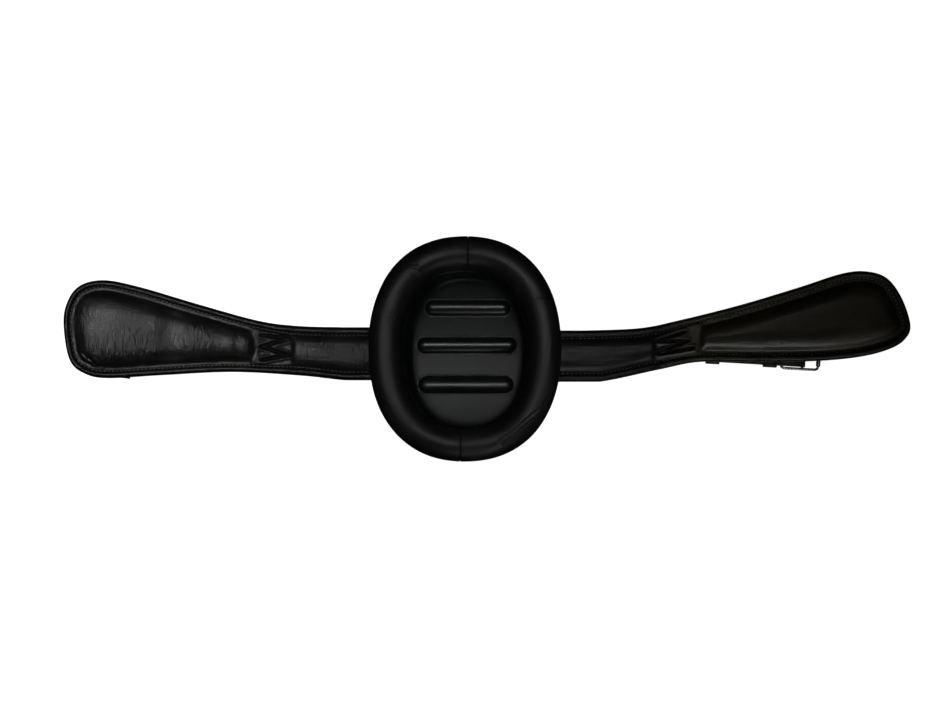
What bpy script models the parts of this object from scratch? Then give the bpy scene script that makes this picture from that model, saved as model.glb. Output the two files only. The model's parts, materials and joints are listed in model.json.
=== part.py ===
"""Boxing belly guard: a padded oval cup on a hip belt with a strap-and-buckle fastening.

The guard lies on its domed front, with the bowl open towards +Z. +X runs along the belt towards
the buckle side, +Y towards the top of the cup. The origin is the middle of the flat at the foot
of the dome. Every length below is in millimetres and becomes metres when a mesh is made.
"""

import math

import bmesh
import bpy
from mathutils import Matrix, Vector

MM = 0.001
GAP = 0.3                     # clearance between neighbouring pieces
FOAM_GAP = 0.6                # clearance round the foam inside the belt

# Cup: a superellipse outline; insets are measured inwards from it.
CUP_HALF_WIDTH = 88.0
CUP_HALF_HEIGHT = 102.8
CUP_POWER = 2.25
CUP_SEGMENTS = 48
END_INSET_SHARE = 0.93        # low in the bowl, the insets at its two ends are this much smaller
FULL_INSET_HEIGHT = 35.0      # from here up, insets are the same all round
SHARE_FALL = 15.0
TOP_SEAM = math.radians(88.8)
BOTTOM_SEAM = math.radians(268.0)
SEAM_GAP = math.radians(0.12)

# Rim roll: a foam ring in a leather cover, slit below for the edge of the shell.
ROLL_RADIUS = 15.5
ROLL_HEIGHT = 50.5
ROLL_LEATHER = 1.5
ROLL_SIDES = 16
SLIT_NEAR = 18.7
SLIT_FAR = 22.3
SLIT_TOP = 46.3

# Profiles of the bowl's layers, (inset, height), from the rim down to the flat middle.
SHELL_OUTER = [(19.0, 46.0), (19.0, 35.0), (22.0, 27.0), (29.0, 16.5), (38.0, 12.2), (50.0, 12.0)]
SHELL_INNER = [(22.0, 46.0), (22.0, 36.5), (25.0, 28.0), (32.0, 19.0), (39.0, 15.4), (48.0, 15.0)]
FOAM_OUTER = [(17.1, 34.5), (17.1, 21.5), (20.4, 13.3), (28.3, 7.0), (40.6, 3.3), (52.0, 2.1)]
FOAM_INNER = [(18.7, 34.5), (21.6, 27.0), (28.6, 16.3), (37.8, 11.9), (50.0, 11.7)]
COVER_OUTER = [(15.0, 34.6), (15.0, 21.0), (18.5, 12.0), (27.0, 5.0), (40.0, 1.2), (52.0, 0.0)]
COVER_INNER = [(16.8, 34.6), (16.8, 21.4), (20.0, 13.0), (28.0, 6.7), (40.4, 3.0), (52.0, 1.8)]

# Raised bars across the floor of the shell: middle x, middle y, length, width.
BARS = [(2.0, 37.6, 78.5, 14.3), (1.8, 3.3, 92.0, 14.8), (0.8, -32.7, 88.0, 16.2)]
BAR_RISE = 5.0
BAR_ROOT = 14.0

# Belt outline on each side, from the cup out along the upper edge and back along the lower one.
LEFT_EDGE = [
    (-70, 19), (-110, 20), (-152, 21.2), (-190, 26), (-245, 41), (-300, 57.2), (-334, 63.5),
    (-357, 57), (-368.5, 38), (-369.5, 15), (-364, -11), (-351, -22.5), (-330, -26.9),
    (-280, -24.2), (-215, -21.2), (-152, -24), (-110, -27.2), (-70, -29),
]
RIGHT_EDGE = [
    (70, 16), (110, 17), (161, 19.3), (198, 26.7), (253, 40.5), (308, 57), (345, 69),
    (368, 71.6), (388, 65.5), (402, 47), (410, 22), (405, 9), (391, 0), (365, -7),
    (326, -11), (271, -12), (216, -12), (179, -18.4), (124, -28.5), (70, -32),
]
CURVE_STEPS = 8

ARM_HINGE = 92.0              # distance of the arms' fold lines from the middle of the cup
LEFT_FOLD = -159.2            # fold lines between arm and wing, at the tacked panels
RIGHT_FOLD = 174.8
FOLD_ROOM = 2.0
LEFT_PAD_START = -193.0
RIGHT_PAD_START = 214.4

# Heights of the belt's underside: at the cup and under each wing.
CUP_BASE = 20.0
LEFT_BASE = 6.6
RIGHT_BASE = 10.8

BACK_THICK = 1.8
BEAD_RADIUS = 2.6
BEAD_INSET = 3.8
BEAD_SIDES = 8
PAD_HEIGHT = 9.6
LEATHER = 1.3
ARM_BORDER = 8.6
WING_BORDER = 6.8
PAD_SLOPE = 6.0               # how far the pad's shoulder leans in
TACK_HEIGHT = 4.6
THREAD_RADIUS = 0.45

STRAP_WIDTH = 25.0
STRAP_THICK = 3.0
KEEPER_WIDTH = 12.5
KEEPER_LEATHER = 1.5

# Billet: anchored under the end of the left wing and folded back beneath it.
BILLET_FOLD = Vector((-346.0, -10.5, 3.15))
BILLET_ANGLE = math.radians(5.0)
BILLET_LENGTH = 157.0
BILLET_POINT = 12.0
ANCHOR_ANGLE = math.radians(-7.0)
ANCHOR_LENGTH = 39.0
ANCHOR_FRONT = 1.5            # the patch ends this far behind the billet's fold, parallel to it
HOLE_RADIUS = 2.25
HOLE_PITCH = 20.0
HOLE_COUNT = 5

# Buckle strap: sewn under the right wing and running out along it.
STRAP_START = Vector((214.0, 1.4, 5.7))
STRAP_ANGLE = math.radians(-3.3)
STRAP_LENGTH = 87.0
STRAP_ANCHOR_LENGTH = 22.0
SLIDING_KEEPER_AT = 15.0
FIXED_KEEPER_AT = 68.0

# Roller buckle, placed from the strap's start along the strap.
FRAME_WIRE = 1.3
FRAME_HALF_WIDTH = 14.3
FRAME_START = 77.0
FRAME_LENGTH = 37.0
BAR_AT = 98.0
FRAME_DROP = 1.7              # the frame's plane lies this far below the strap
ROLLER_OUTER = 2.1
ROLLER_INNER = 1.6
ROLLER_LENGTH = 23.0
TONGUE_WIDTH = 3.0
TONGUE_RING = 2.6
CHAPE_OUTER = 3.0
CHAPE_INNER = 1.6
SLOT_WIDTH = 4.4

COLOURS = {
    "leather": ((0.012, 0.012, 0.013), 0.42, 0.0),
    "dark_leather": ((0.016, 0.013, 0.012), 0.38, 0.0),
    "shell": ((0.020, 0.023, 0.025), 0.55, 0.0),
    "foam": ((0.10, 0.10, 0.11), 0.90, 0.0),
    "thread": ((0.008, 0.008, 0.009), 0.60, 0.0),
    "steel": ((0.62, 0.61, 0.59), 0.28, 1.0),
}

PIVOTS = {}


# ---------------------------------------------------------------- scene helpers

def clear_scene():
    for obj in list(bpy.data.objects):
        bpy.data.objects.remove(obj)


def material_for(name, finish):
    colour, roughness, metallic = COLOURS[finish]
    material = bpy.data.materials.new(name + "_finish")
    material.use_nodes = True
    shader = material.node_tree.nodes["Principled BSDF"]
    shader.inputs["Base Color"].default_value = (*colour, 1.0)
    shader.inputs["Roughness"].default_value = roughness
    shader.inputs["Metallic"].default_value = metallic
    return material


def add_pivot(name, place, parent=None):
    """An empty on a joint's axis; place is in millimetres in the guard's own frame."""
    empty = bpy.data.objects.new(name + "_pivot", None)
    bpy.context.collection.objects.link(empty)
    world = Vector(place) * MM
    if parent:
        empty.parent = bpy.data.objects[parent + "_pivot"]
        empty.location = world - PIVOTS[parent]
    else:
        empty.location = world
    PIVOTS[name] = world


def add_object(name, bm, finish, pivot, smooth=True):
    """Turn a bmesh in millimetres into a named object that hangs on a joint's empty."""
    bmesh.ops.recalc_face_normals(bm, faces=bm.faces)
    shift = Matrix.Translation(-PIVOTS[pivot])
    bmesh.ops.transform(bm, matrix=shift @ Matrix.Scale(MM, 4), verts=bm.verts)
    mesh = bpy.data.meshes.new(name)
    bm.to_mesh(mesh)
    bm.free()
    if smooth:
        mesh.shade_smooth()
        mesh.set_sharp_from_angle(angle=math.radians(40))
    mesh.materials.append(material_for(name, finish))
    obj = bpy.data.objects.new(name, mesh)
    obj.parent = bpy.data.objects[pivot + "_pivot"]
    bpy.context.collection.objects.link(obj)
    return obj


def combine(obj, tool, operation):
    """Join a tool to an object, or cut it away; the tool itself is not part of the guard."""
    tool.hide_render = True
    tool.display_type = "WIRE"
    modifier = obj.modifiers.new(tool.name, "BOOLEAN")
    modifier.operation = operation
    modifier.solver = "EXACT"
    modifier.object = tool


# ---------------------------------------------------------------- mesh helpers

def loft(rings, bm=None):
    """A closed body through rings of points, with a flat cap on the first and the last."""
    bm = bm or bmesh.new()
    rows = [[bm.verts.new(point) for point in ring] for ring in rings]
    for row, following in zip(rows, rows[1:]):
        for i in range(len(row)):
            j = (i + 1) % len(row)
            bm.faces.new((row[i], row[j], following[j], following[i]))
    bm.faces.new(rows[0])
    bm.faces.new(rows[-1])
    return bm


def closed_loft(rings):
    """A ring-shaped body: the last section joins the first, so there are no caps."""
    bm = bmesh.new()
    rows = [[bm.verts.new(point) for point in ring] for ring in rings]
    for row, following in zip(rows, rows[1:] + rows[:1]):
        for i in range(len(row)):
            j = (i + 1) % len(row)
            bm.faces.new((row[i], row[j], following[j], following[i]))
    return bm


def tube(path, radius, sides):
    """A round bar along a nearly level path."""
    rings = []
    for i, point in enumerate(path):
        ahead = path[min(i + 1, len(path) - 1)]
        behind = path[max(i - 1, 0)]
        along = (ahead - behind).normalized()
        across = along.cross(Vector((0, 0, 1))).normalized()
        over = across.cross(along)
        ring = []
        for k in range(sides):
            angle = 2 * math.pi * (k + 0.5) / sides
            ring.append(point + radius * (math.cos(angle) * across + math.sin(angle) * over))
        rings.append(ring)
    return loft(rings)


def smooth_curve(points, steps=CURVE_STEPS):
    """Catmull-Rom curve through the points, from the second to the last but one."""
    found = []
    for a, b, c, d in zip(points, points[1:], points[2:], points[3:]):
        for k in range(steps):
            t = k / steps
            x, y = (
                0.5 * (2 * q + (r - p) * t + (2 * p - 5 * q + 4 * r - s) * t * t
                       + (3 * q - p - 3 * r + s) * t ** 3)
                for p, q, r, s in zip(a, b, c, d)
            )
            found.append((x, y))
    found.append(points[-2])
    return found


def shrink(outline, inset):
    """Move a closed outline's points inwards along their normals; it runs anticlockwise."""
    moved = []
    for i, point in enumerate(outline):
        before = Vector(outline[i - 1])
        here = Vector(point)
        after = Vector(outline[(i + 1) % len(outline)])
        first = (here - before).normalized()
        second = (after - here).normalized()
        mean = (first + second).normalized()
        lean = max(0.45, mean.dot(first))
        moved.append(here + Vector((-mean.y, mean.x)) * inset / lean)
    return moved


def anticlockwise(outline):
    area = sum(a[0] * b[1] - b[0] * a[1] for a, b in zip(outline, outline[1:] + outline[:1]))
    return outline if area > 0 else outline[::-1]


def plate(outline, levels, lift):
    """A body from one outline: each level is (inset, height); lift gives the height of its base."""
    rings = []
    for inset, height in levels:
        ring = shrink(outline, inset)
        rings.append([Vector((p[0], p[1], height + lift(p[0]))) for p in ring])
    return loft(rings)


def box(low, high):
    corners = [(low[0], low[1]), (high[0], low[1]), (high[0], high[1]), (low[0], high[1])]
    return loft([[Vector((x, y, z)) for x, y in corners] for z in (low[2], high[2])])


def strap_frame(start, angle):
    """The frame of a strap: x runs along it, y across it, z up, from its start."""
    return Matrix.Translation(start) @ Matrix.Rotation(angle, 4, "Z")


def placed(bm, matrix):
    bmesh.ops.transform(bm, matrix=matrix, verts=bm.verts)
    return bm


# ---------------------------------------------------------------- cup

def rim_point(turn):
    """A point of the cup's outline and the outward normal there."""
    c, s = math.cos(turn), math.sin(turn)
    x = CUP_HALF_WIDTH * math.copysign(abs(c) ** (2 / CUP_POWER), c)
    y = CUP_HALF_HEIGHT * math.copysign(abs(s) ** (2 / CUP_POWER), s)
    nx = math.copysign(abs(x / CUP_HALF_WIDTH) ** (CUP_POWER - 1), x) / CUP_HALF_WIDTH
    ny = math.copysign(abs(y / CUP_HALF_HEIGHT) ** (CUP_POWER - 1), y) / CUP_HALF_HEIGHT
    return Vector((x, y)), Vector((nx, ny)).normalized()


def bowl_ring(inset, height):
    depth = min(1.0, max(0.0, (FULL_INSET_HEIGHT - height) / SHARE_FALL))
    end_inset = inset * (1.0 - depth * (1.0 - END_INSET_SHARE))
    ring = []
    for i in range(CUP_SEGMENTS):
        point, normal = rim_point(2 * math.pi * (i + 0.5) / CUP_SEGMENTS)
        x = point.x - normal.x * inset
        y = point.y - normal.y * end_inset
        ring.append(Vector((x, y, height)))
    return ring


def bowl(outer, inner):
    """A bowl-shaped layer between an outer and an inner profile."""
    path = outer[::-1] + inner
    return loft([bowl_ring(inset, height) for inset, height in path])


def bar_body(middle_x, middle_y, length, width):
    """One raised bar: a long rounded mound with half-round ends."""
    half = (length - width) / 2
    radius = width / 2
    outline = []
    for k in range(7):
        angle = -math.pi / 2 + math.pi * k / 6
        outline.append((middle_x + half + radius * math.cos(angle),
                        middle_y + radius * math.sin(angle)))
    for k in range(7):
        angle = math.pi / 2 + math.pi * k / 6
        outline.append((middle_x - half + radius * math.cos(angle),
                        middle_y + radius * math.sin(angle)))
    levels = [(0.0, BAR_ROOT), (0.0, 16.0), (1.6, 18.2), (4.4, 15.0 + BAR_RISE)]
    return plate(outline, levels, lambda x: 0.0)


def make_shell():
    shell = add_object("cup_shell", bowl(SHELL_OUTER, SHELL_INNER), "shell", "cup")
    for number, bar in enumerate(BARS, start=1):
        tool = add_object("bar_tool_%d" % number, bar_body(*bar), "shell", "cup")
        combine(shell, tool, "UNION")


def roll_section(turn, section):
    point, normal = rim_point(turn)
    return [Vector((point.x - normal.x * d, point.y - normal.y * d, z)) for d, z in section]


def roll_arc(radius):
    """The roll's round outline from one side of the slit to the other, as (inset, height)."""
    first = math.atan2(-math.sqrt(radius ** 2 - (SLIT_FAR - ROLL_RADIUS) ** 2),
                       SLIT_FAR - ROLL_RADIUS)
    last = math.atan2(-math.sqrt(radius ** 2 - (SLIT_NEAR - ROLL_RADIUS) ** 2),
                      SLIT_NEAR - ROLL_RADIUS) + 2 * math.pi
    arc = []
    for k in range(ROLL_SIDES + 1):
        angle = first + (last - first) * k / ROLL_SIDES
        arc.append((ROLL_RADIUS + radius * math.cos(angle),
                    ROLL_HEIGHT + radius * math.sin(angle)))
    return arc


def make_roll():
    core = roll_arc(ROLL_RADIUS - ROLL_LEATHER - GAP) + [(SLIT_NEAR, SLIT_TOP), (SLIT_FAR, SLIT_TOP)]
    turns = [2 * math.pi * i / CUP_SEGMENTS for i in range(CUP_SEGMENTS)]
    add_object("rim_core", closed_loft([roll_section(t, core) for t in turns]), "foam", "cup")
    skin = roll_arc(ROLL_RADIUS) + roll_arc(ROLL_RADIUS - ROLL_LEATHER)[::-1]
    spans = {
        "rim_cover_left": (TOP_SEAM + SEAM_GAP, BOTTOM_SEAM - SEAM_GAP),
        "rim_cover_right": (BOTTOM_SEAM + SEAM_GAP, TOP_SEAM - SEAM_GAP + 2 * math.pi),
    }
    half = CUP_SEGMENTS // 2
    for name, (first, last) in spans.items():
        turns = [first + (last - first) * i / half for i in range(half + 1)]
        add_object(name, loft([roll_section(t, skin) for t in turns]), "leather", "cup")


def make_cup():
    make_shell()
    add_object("cup_foam", bowl(FOAM_OUTER, FOAM_INNER), "foam", "cup")
    add_object("front_cover", bowl(COVER_OUTER, COVER_INNER), "leather", "cup")
    make_roll()


# ---------------------------------------------------------------- belt

class Side:
    """One half of the belt: its edges, its fold lines and the height it lies at."""

    def __init__(self, name, edge, fold, pad_start, base):
        self.name = name
        self.sign = math.copysign(1.0, fold)
        self.fold = fold
        self.pad_start = pad_start
        self.base = base
        curve = smooth_curve([(x * 1.0, y * 1.0) for x, y in edge])
        tip = max(range(len(curve)), key=lambda i: self.sign * curve[i][0])
        self.tip = curve[tip][0]
        self.upper = curve[:tip + 1]
        self.lower = curve[tip:][::-1]

    def edge_height(self, edge, x):
        for (x0, y0), (x1, y1) in zip(edge, edge[1:]):
            if self.sign * x <= self.sign * x1:
                return y0 + (y1 - y0) * (x - x0) / (x1 - x0)
        return edge[-1][1]

    def outline(self, start, end, count):
        """The belt's plan between two places along x."""
        xs = [start + (end - start) * i / count for i in range(count + 1)]
        if end == self.tip:
            xs = [start + (end - start) * math.sin(math.pi / 2 * i / count)
                  for i in range(count + 1)]
        upper = [(x, self.edge_height(self.upper, x)) for x in xs]
        lower = [(x, self.edge_height(self.lower, x)) for x in xs]
        if end == self.tip:
            lower = lower[:-1]
        return anticlockwise(upper + lower[::-1])

    def lift(self, x):
        """Height of the belt's underside: it slopes down from the cup to the wing."""
        share = (abs(x) - ARM_HINGE) / (abs(self.fold) - ARM_HINGE)
        share = min(1.0, max(0.0, share))
        return CUP_BASE + (self.base - CUP_BASE) * share


def pad_levels(border):
    """Foam core and the leather laid over it, as levels for plate()."""
    floor = BACK_THICK + GAP
    shoulder = PAD_HEIGHT - 4.4
    edge = border + LEATHER + FOAM_GAP
    foam = [
        (edge, floor),
        (edge, shoulder - 1.0),
        (edge + PAD_SLOPE, PAD_HEIGHT - LEATHER - FOAM_GAP),
    ]
    face = [
        (border + LEATHER + PAD_SLOPE, PAD_HEIGHT - LEATHER),
        (border + LEATHER, shoulder - 0.6),
        (border + LEATHER, floor),
        (border, floor),
        (border, shoulder),
        (border + PAD_SLOPE, PAD_HEIGHT),
    ]
    return foam, face


def make_arm(side):
    body = side.name + "_arm"
    start = side.sign * ARM_HINGE
    end = side.fold - side.sign * FOLD_ROOM
    outline = side.outline(start, end, 5)
    add_object(body + "_back", plate(outline, [(0.0, 0.0), (0.0, BACK_THICK)], side.lift),
               "leather", body)
    inner = side.outline(start + side.sign * 1.0, end - side.sign * 1.0, 5)
    foam, face = pad_levels(ARM_BORDER)
    add_object(body + "_foam", plate(pulled_ends(inner, ARM_BORDER), foam, side.lift), "foam", body)
    add_object(body + "_face", plate(pulled_ends(inner, ARM_BORDER), face, side.lift),
               "leather", body)
    make_beads(side, body, start, end)


def pulled_ends(outline, border):
    """Lengthen a short panel so that the inset at its two ends stays small."""
    low = min(x for x, y in outline)
    high = max(x for x, y in outline)
    middle = (low + high) / 2
    growth = (high - low + 2 * border) / (high - low)
    return [(middle + (x - middle) * growth, y) for x, y in outline]


def make_beads(side, body, start, end):
    for edge_name, edge, turn in (("upper", side.upper, -1), ("lower", side.lower, 1)):
        path = []
        for i in range(7):
            x = start + (end - start) * i / 6
            y = side.edge_height(edge, x) + turn * BEAD_INSET
            z = side.lift(x) + BACK_THICK + GAP + BEAD_RADIUS
            path.append(Vector((x, y, z)))
        bm = tube(path, BEAD_RADIUS, BEAD_SIDES)
        add_object("%s_bead_%s" % (body, edge_name), bm, "leather", body)


def make_wing(side, tack_path):
    body = side.name + "_wing"
    outline = side.outline(side.fold, side.tip, 22)
    finish = "leather" if side.name == "left" else "dark_leather"
    add_object(body + "_back", plate(outline, [(0.0, 0.0), (0.0, BACK_THICK)], side.lift),
               finish, body)
    pad = side.outline(side.pad_start - side.sign * WING_BORDER, side.tip, 20)
    foam, face = pad_levels(WING_BORDER)
    add_object(body + "_foam", plate(pad, foam, side.lift), "foam", body)
    add_object(body + "_face", plate(pad, face, side.lift), finish, body)
    bead = [p for p in shrink(outline, BEAD_INSET)]
    height = side.base + BACK_THICK + GAP + BEAD_RADIUS
    path = wing_bead_path(side, bead, height)
    add_object(body + "_bead", tube(path, BEAD_RADIUS, BEAD_SIDES), finish, body)
    make_tack(side, body, tack_path)


def wing_bead_path(side, ring, height):
    """The border bead runs from the fold, round the wing's end and back to the fold."""
    limit = abs(side.fold)
    kept = [p for p in ring if abs(p.x) > limit + 2 * BEAD_INSET]
    first = max(range(len(kept)), key=lambda i: (kept[i] - kept[i - 1]).length)
    kept = kept[first:] + kept[:first]
    starts = []
    for near in (kept[0], kept[-1]):
        edge = side.upper if near.y > 0 else side.lower
        turn = -1 if near.y > 0 else 1
        starts.append(Vector((side.fold, side.edge_height(edge, side.fold) + turn * BEAD_INSET)))
    kept = [starts[0]] + kept + [starts[1]]
    return [Vector((p.x, p.y, height)) for p in kept]


def make_tack(side, body, zigzag):
    """The flattened panel at the fold and the zigzag of heavy thread that holds it down."""
    start = side.fold + side.sign * 1.5
    end = side.pad_start - side.sign * 1.0
    rows = []
    for i in range(4):
        x = start + (end - start) * i / 3
        rows.append((x, side.edge_height(side.upper, x) - ARM_BORDER,
                     side.edge_height(side.lower, x) + ARM_BORDER))
    outline = [(x, top) for x, top, low in rows] + [(x, low) for x, top, low in rows][::-1]
    levels = [(0.0, BACK_THICK + GAP), (0.0, TACK_HEIGHT - 1.0), (1.0, TACK_HEIGHT)]
    add_object(side.name + "_tack_panel", plate(anticlockwise(outline), levels, side.lift),
               "leather", body)
    height = side.base + TACK_HEIGHT + GAP + THREAD_RADIUS
    path = [Vector((x, y, height)) for x, y in rounded_path(zigzag, 1.2)]
    add_object(side.name + "_tack_thread", tube(path, THREAD_RADIUS, 6), "thread", body)


def rounded_path(corners, radius):
    """Replace each sharp turn of a zigzag by three points of a small arc."""
    found = [corners[0]]
    for before, here, after in zip(corners, corners[1:], corners[2:]):
        back = (Vector(before) - Vector(here)).normalized()
        ahead = (Vector(after) - Vector(here)).normalized()
        across = (back - ahead).normalized()
        middle = Vector(here) + (back + ahead).normalized() * radius
        outwards = -(back + ahead).normalized()
        for share in (90, 40, 0, -40, -90):
            angle = math.radians(share)
            found.append(tuple(middle + radius * (math.sin(angle) * across
                                                  + math.cos(angle) * outwards)))
    found.append(corners[-1])
    return found


def make_tab(side):
    """The sewn root of the belt, under the roll and against the cup's front cover."""
    ends = []
    for y in (side.edge_height(side.upper, side.sign * 80.0),
              side.edge_height(side.lower, side.sign * 80.0)):
        ends.append(y)
    outer = side.sign * (ARM_HINGE - FOLD_ROOM)
    outline = [(outer, ends[0]), (outer, ends[1])]
    for k in range(7):
        y = ends[1] + (ends[0] - ends[1]) * k / 6
        turn = math.asin(math.copysign(abs(y / CUP_HALF_HEIGHT) ** (CUP_POWER / 2), y))
        point, normal = rim_point(turn)
        reach = point.x - (15.0 - GAP) * normal.x
        outline.append((side.sign * reach, y))
    levels = [(0.0, 0.0), (0.0, PAD_HEIGHT - 2.0), (1.5, PAD_HEIGHT)]
    add_object(side.name + "_tab", plate(anticlockwise(outline), levels, lambda x: CUP_BASE),
               "leather", "cup")


# ---------------------------------------------------------------- straps and buckle

def strap_outline(length, width, point):
    half = width / 2
    return [(0, -half), (length - point, -half), (length, -half * 0.35),
            (length, half * 0.35), (length - point, half), (0, half)]


def strap_plate(outline, low, high):
    return loft([[Vector((x, y, z)) for x, y in outline] for z in (low, high)])


def make_billet():
    frame = strap_frame(BILLET_FOLD, ANCHOR_ANGLE)
    half = STRAP_WIDTH / 2
    skew = half * math.tan(BILLET_ANGLE - ANCHOR_ANGLE)
    outline = [(ANCHOR_FRONT + skew, -half), (ANCHOR_LENGTH - 5, -half), (ANCHOR_LENGTH, half),
               (ANCHOR_FRONT - skew, half)]
    low = 0.15
    add_object("billet_anchor", placed(strap_plate(outline, low, low + STRAP_THICK), frame),
               "leather", "left_wing", smooth=False)
    frame = strap_frame(BILLET_FOLD, BILLET_ANGLE)
    outline = strap_outline(BILLET_LENGTH, STRAP_WIDTH, BILLET_POINT)
    bm = strap_plate(outline, -low - STRAP_THICK, -low)
    billet = add_object("billet_strap", placed(bm, frame), "leather", "billet", smooth=False)
    holes = bmesh.new()
    for k in range(HOLE_COUNT):
        x = BILLET_LENGTH - 28.0 - k * HOLE_PITCH
        ring = [(x + HOLE_RADIUS * math.cos(2 * math.pi * i / 12),
                 HOLE_RADIUS * math.sin(2 * math.pi * i / 12)) for i in range(12)]
        loft([[Vector((p, q, z)) for p, q in ring] for z in (-5.0, 2.0)], holes)
    tool = add_object("billet_holes", placed(holes, frame), "leather", "billet")
    combine(billet, tool, "DIFFERENCE")


def keeper(at):
    """A flat leather loop round the strap, with room below it for the billet."""
    half = STRAP_WIDTH / 2 + 0.5
    low = -STRAP_START.z + KEEPER_LEATHER
    high = STRAP_THICK + GAP
    inner = [(-half, low), (half, low), (half, high), (-half, high)]
    t = KEEPER_LEATHER
    outer = [(-half - t, low - t), (half + t, low - t), (half + t, high + t), (-half - t, high + t)]
    rings = []
    for section, x in ((outer, at - KEEPER_WIDTH / 2), (outer, at + KEEPER_WIDTH / 2),
                       (inner, at + KEEPER_WIDTH / 2), (inner, at - KEEPER_WIDTH / 2)):
        rings.append([Vector((x, y, z)) for y, z in section])
    return closed_loft(rings)


def cross_bar(x, z, radius, length, sides=12):
    rings = []
    for y in (-length / 2, length / 2):
        rings.append([Vector((x + radius * math.cos(2 * math.pi * i / sides), y,
                              z + radius * math.sin(2 * math.pi * i / sides)))
                      for i in range(sides)])
    return loft(rings)


def cross_sleeve(x, z, outer, inner, length, sides=16):
    """A short pipe lying across the strap."""
    rings = []
    for radius, y in ((outer, -length / 2), (outer, length / 2),
                      (inner, length / 2), (inner, -length / 2)):
        rings.append([Vector((x + radius * math.cos(2 * math.pi * i / sides), y,
                              z + radius * math.sin(2 * math.pi * i / sides)))
                      for i in range(sides)])
    return closed_loft(rings)


def make_buckle_strap(frame):
    anchor = box((-STRAP_ANCHOR_LENGTH, -12.5, 1.8), (-2.0, 12.5, 4.8))
    add_object("buckle_strap_anchor", placed(anchor, frame), "leather", "right_wing", smooth=False)
    bar_z = -FRAME_DROP
    top = STRAP_THICK
    bm = box((0.0, -STRAP_WIDTH / 2, 0.0), (BAR_AT, STRAP_WIDTH / 2, top))
    strap = add_object("buckle_strap", placed(bm, frame), "leather", "buckle_strap", smooth=False)
    loop = cross_bar(BAR_AT, bar_z, CHAPE_OUTER, STRAP_WIDTH, sides=16)
    tool = add_object("chape_loop", placed(loop, frame), "leather", "buckle_strap")
    combine(strap, tool, "UNION")
    bore = cross_bar(BAR_AT, bar_z, CHAPE_INNER, STRAP_WIDTH + 4, sides=16)
    tool = add_object("chape_bore", placed(bore, frame), "leather", "buckle_strap")
    combine(strap, tool, "DIFFERENCE")
    slot = box((BAR_AT - 7.0, -SLOT_WIDTH / 2, -8.0), (BAR_AT + 8.0, SLOT_WIDTH / 2, 8.0))
    tool = add_object("chape_slot", placed(slot, frame), "leather", "buckle_strap")
    combine(strap, tool, "DIFFERENCE")
    add_object("fixed_keeper", placed(keeper(FIXED_KEEPER_AT), frame), "leather",
               "buckle_strap", smooth=False)
    add_object("sliding_keeper", placed(keeper(SLIDING_KEEPER_AT), frame), "leather",
               "sliding_keeper", smooth=False)


def make_buckle(frame):
    bar_z = -FRAME_DROP
    start, end = FRAME_START + FRAME_WIRE, FRAME_START + FRAME_LENGTH - FRAME_WIRE
    corner = 3.0
    path = []
    for cx, cy, first in ((end - corner, FRAME_HALF_WIDTH - corner, 0),
                          (start + corner, FRAME_HALF_WIDTH - corner, 90),
                          (start + corner, corner - FRAME_HALF_WIDTH, 180),
                          (end - corner, corner - FRAME_HALF_WIDTH, 270)):
        for step in (0, 45, 90):
            angle = math.radians(first + step)
            path.append(Vector((cx + corner * math.cos(angle), cy + corner * math.sin(angle),
                                bar_z)))
    rings = []
    for i, point in enumerate(path):
        along = (path[(i + 1) % len(path)] - path[i - 1]).normalized()
        across = along.cross(Vector((0, 0, 1)))
        rings.append([point + FRAME_WIRE * (math.cos(a) * across + math.sin(a) * Vector((0, 0, 1)))
                      for a in (2 * math.pi * k / 10 for k in range(10))])
    buckle = add_object("buckle_frame", placed(closed_loft(rings), frame), "steel", "buckle_frame")
    bar = cross_bar(BAR_AT, bar_z, FRAME_WIRE, 2 * FRAME_HALF_WIDTH)
    tool = add_object("middle_bar", placed(bar, frame), "steel", "buckle_frame")
    combine(buckle, tool, "UNION")
    roller = cross_sleeve(end, bar_z, ROLLER_OUTER, ROLLER_INNER, ROLLER_LENGTH - 2 * corner + 5.0)
    add_object("buckle_roller", placed(roller, frame), "steel", "buckle_roller")
    make_tongue(frame, bar_z, end)


def make_tongue(frame, bar_z, roller_x):
    ring = cross_bar(BAR_AT, bar_z, TONGUE_RING, TONGUE_WIDTH, sides=16)
    tongue = add_object("buckle_tongue", placed(ring, frame), "steel", "buckle_tongue")
    low = bar_z - ROLLER_OUTER - GAP
    profile = [(BAR_AT, bar_z - 2.5), (BAR_AT, bar_z - 1.6), (BAR_AT + 4.0, bar_z - 1.7),
               (roller_x - 3.5, low), (roller_x + 1.6, low), (roller_x + 1.6, low - 1.0),
               (roller_x - 3.5, low - 1.3), (BAR_AT + 3.0, bar_z - 3.0)]
    rings = [[Vector((x, y, z)) for x, z in profile] for y in (-TONGUE_WIDTH / 2, TONGUE_WIDTH / 2)]
    tool = add_object("tongue_blade", placed(loft(rings), frame), "steel", "buckle_tongue")
    combine(tongue, tool, "UNION")
    bore = cross_bar(BAR_AT, bar_z, CHAPE_INNER, TONGUE_WIDTH + 4, sides=16)
    tool = add_object("tongue_bore", placed(bore, frame), "steel", "buckle_tongue")
    combine(tongue, tool, "DIFFERENCE")


# ---------------------------------------------------------------- the whole guard

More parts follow.
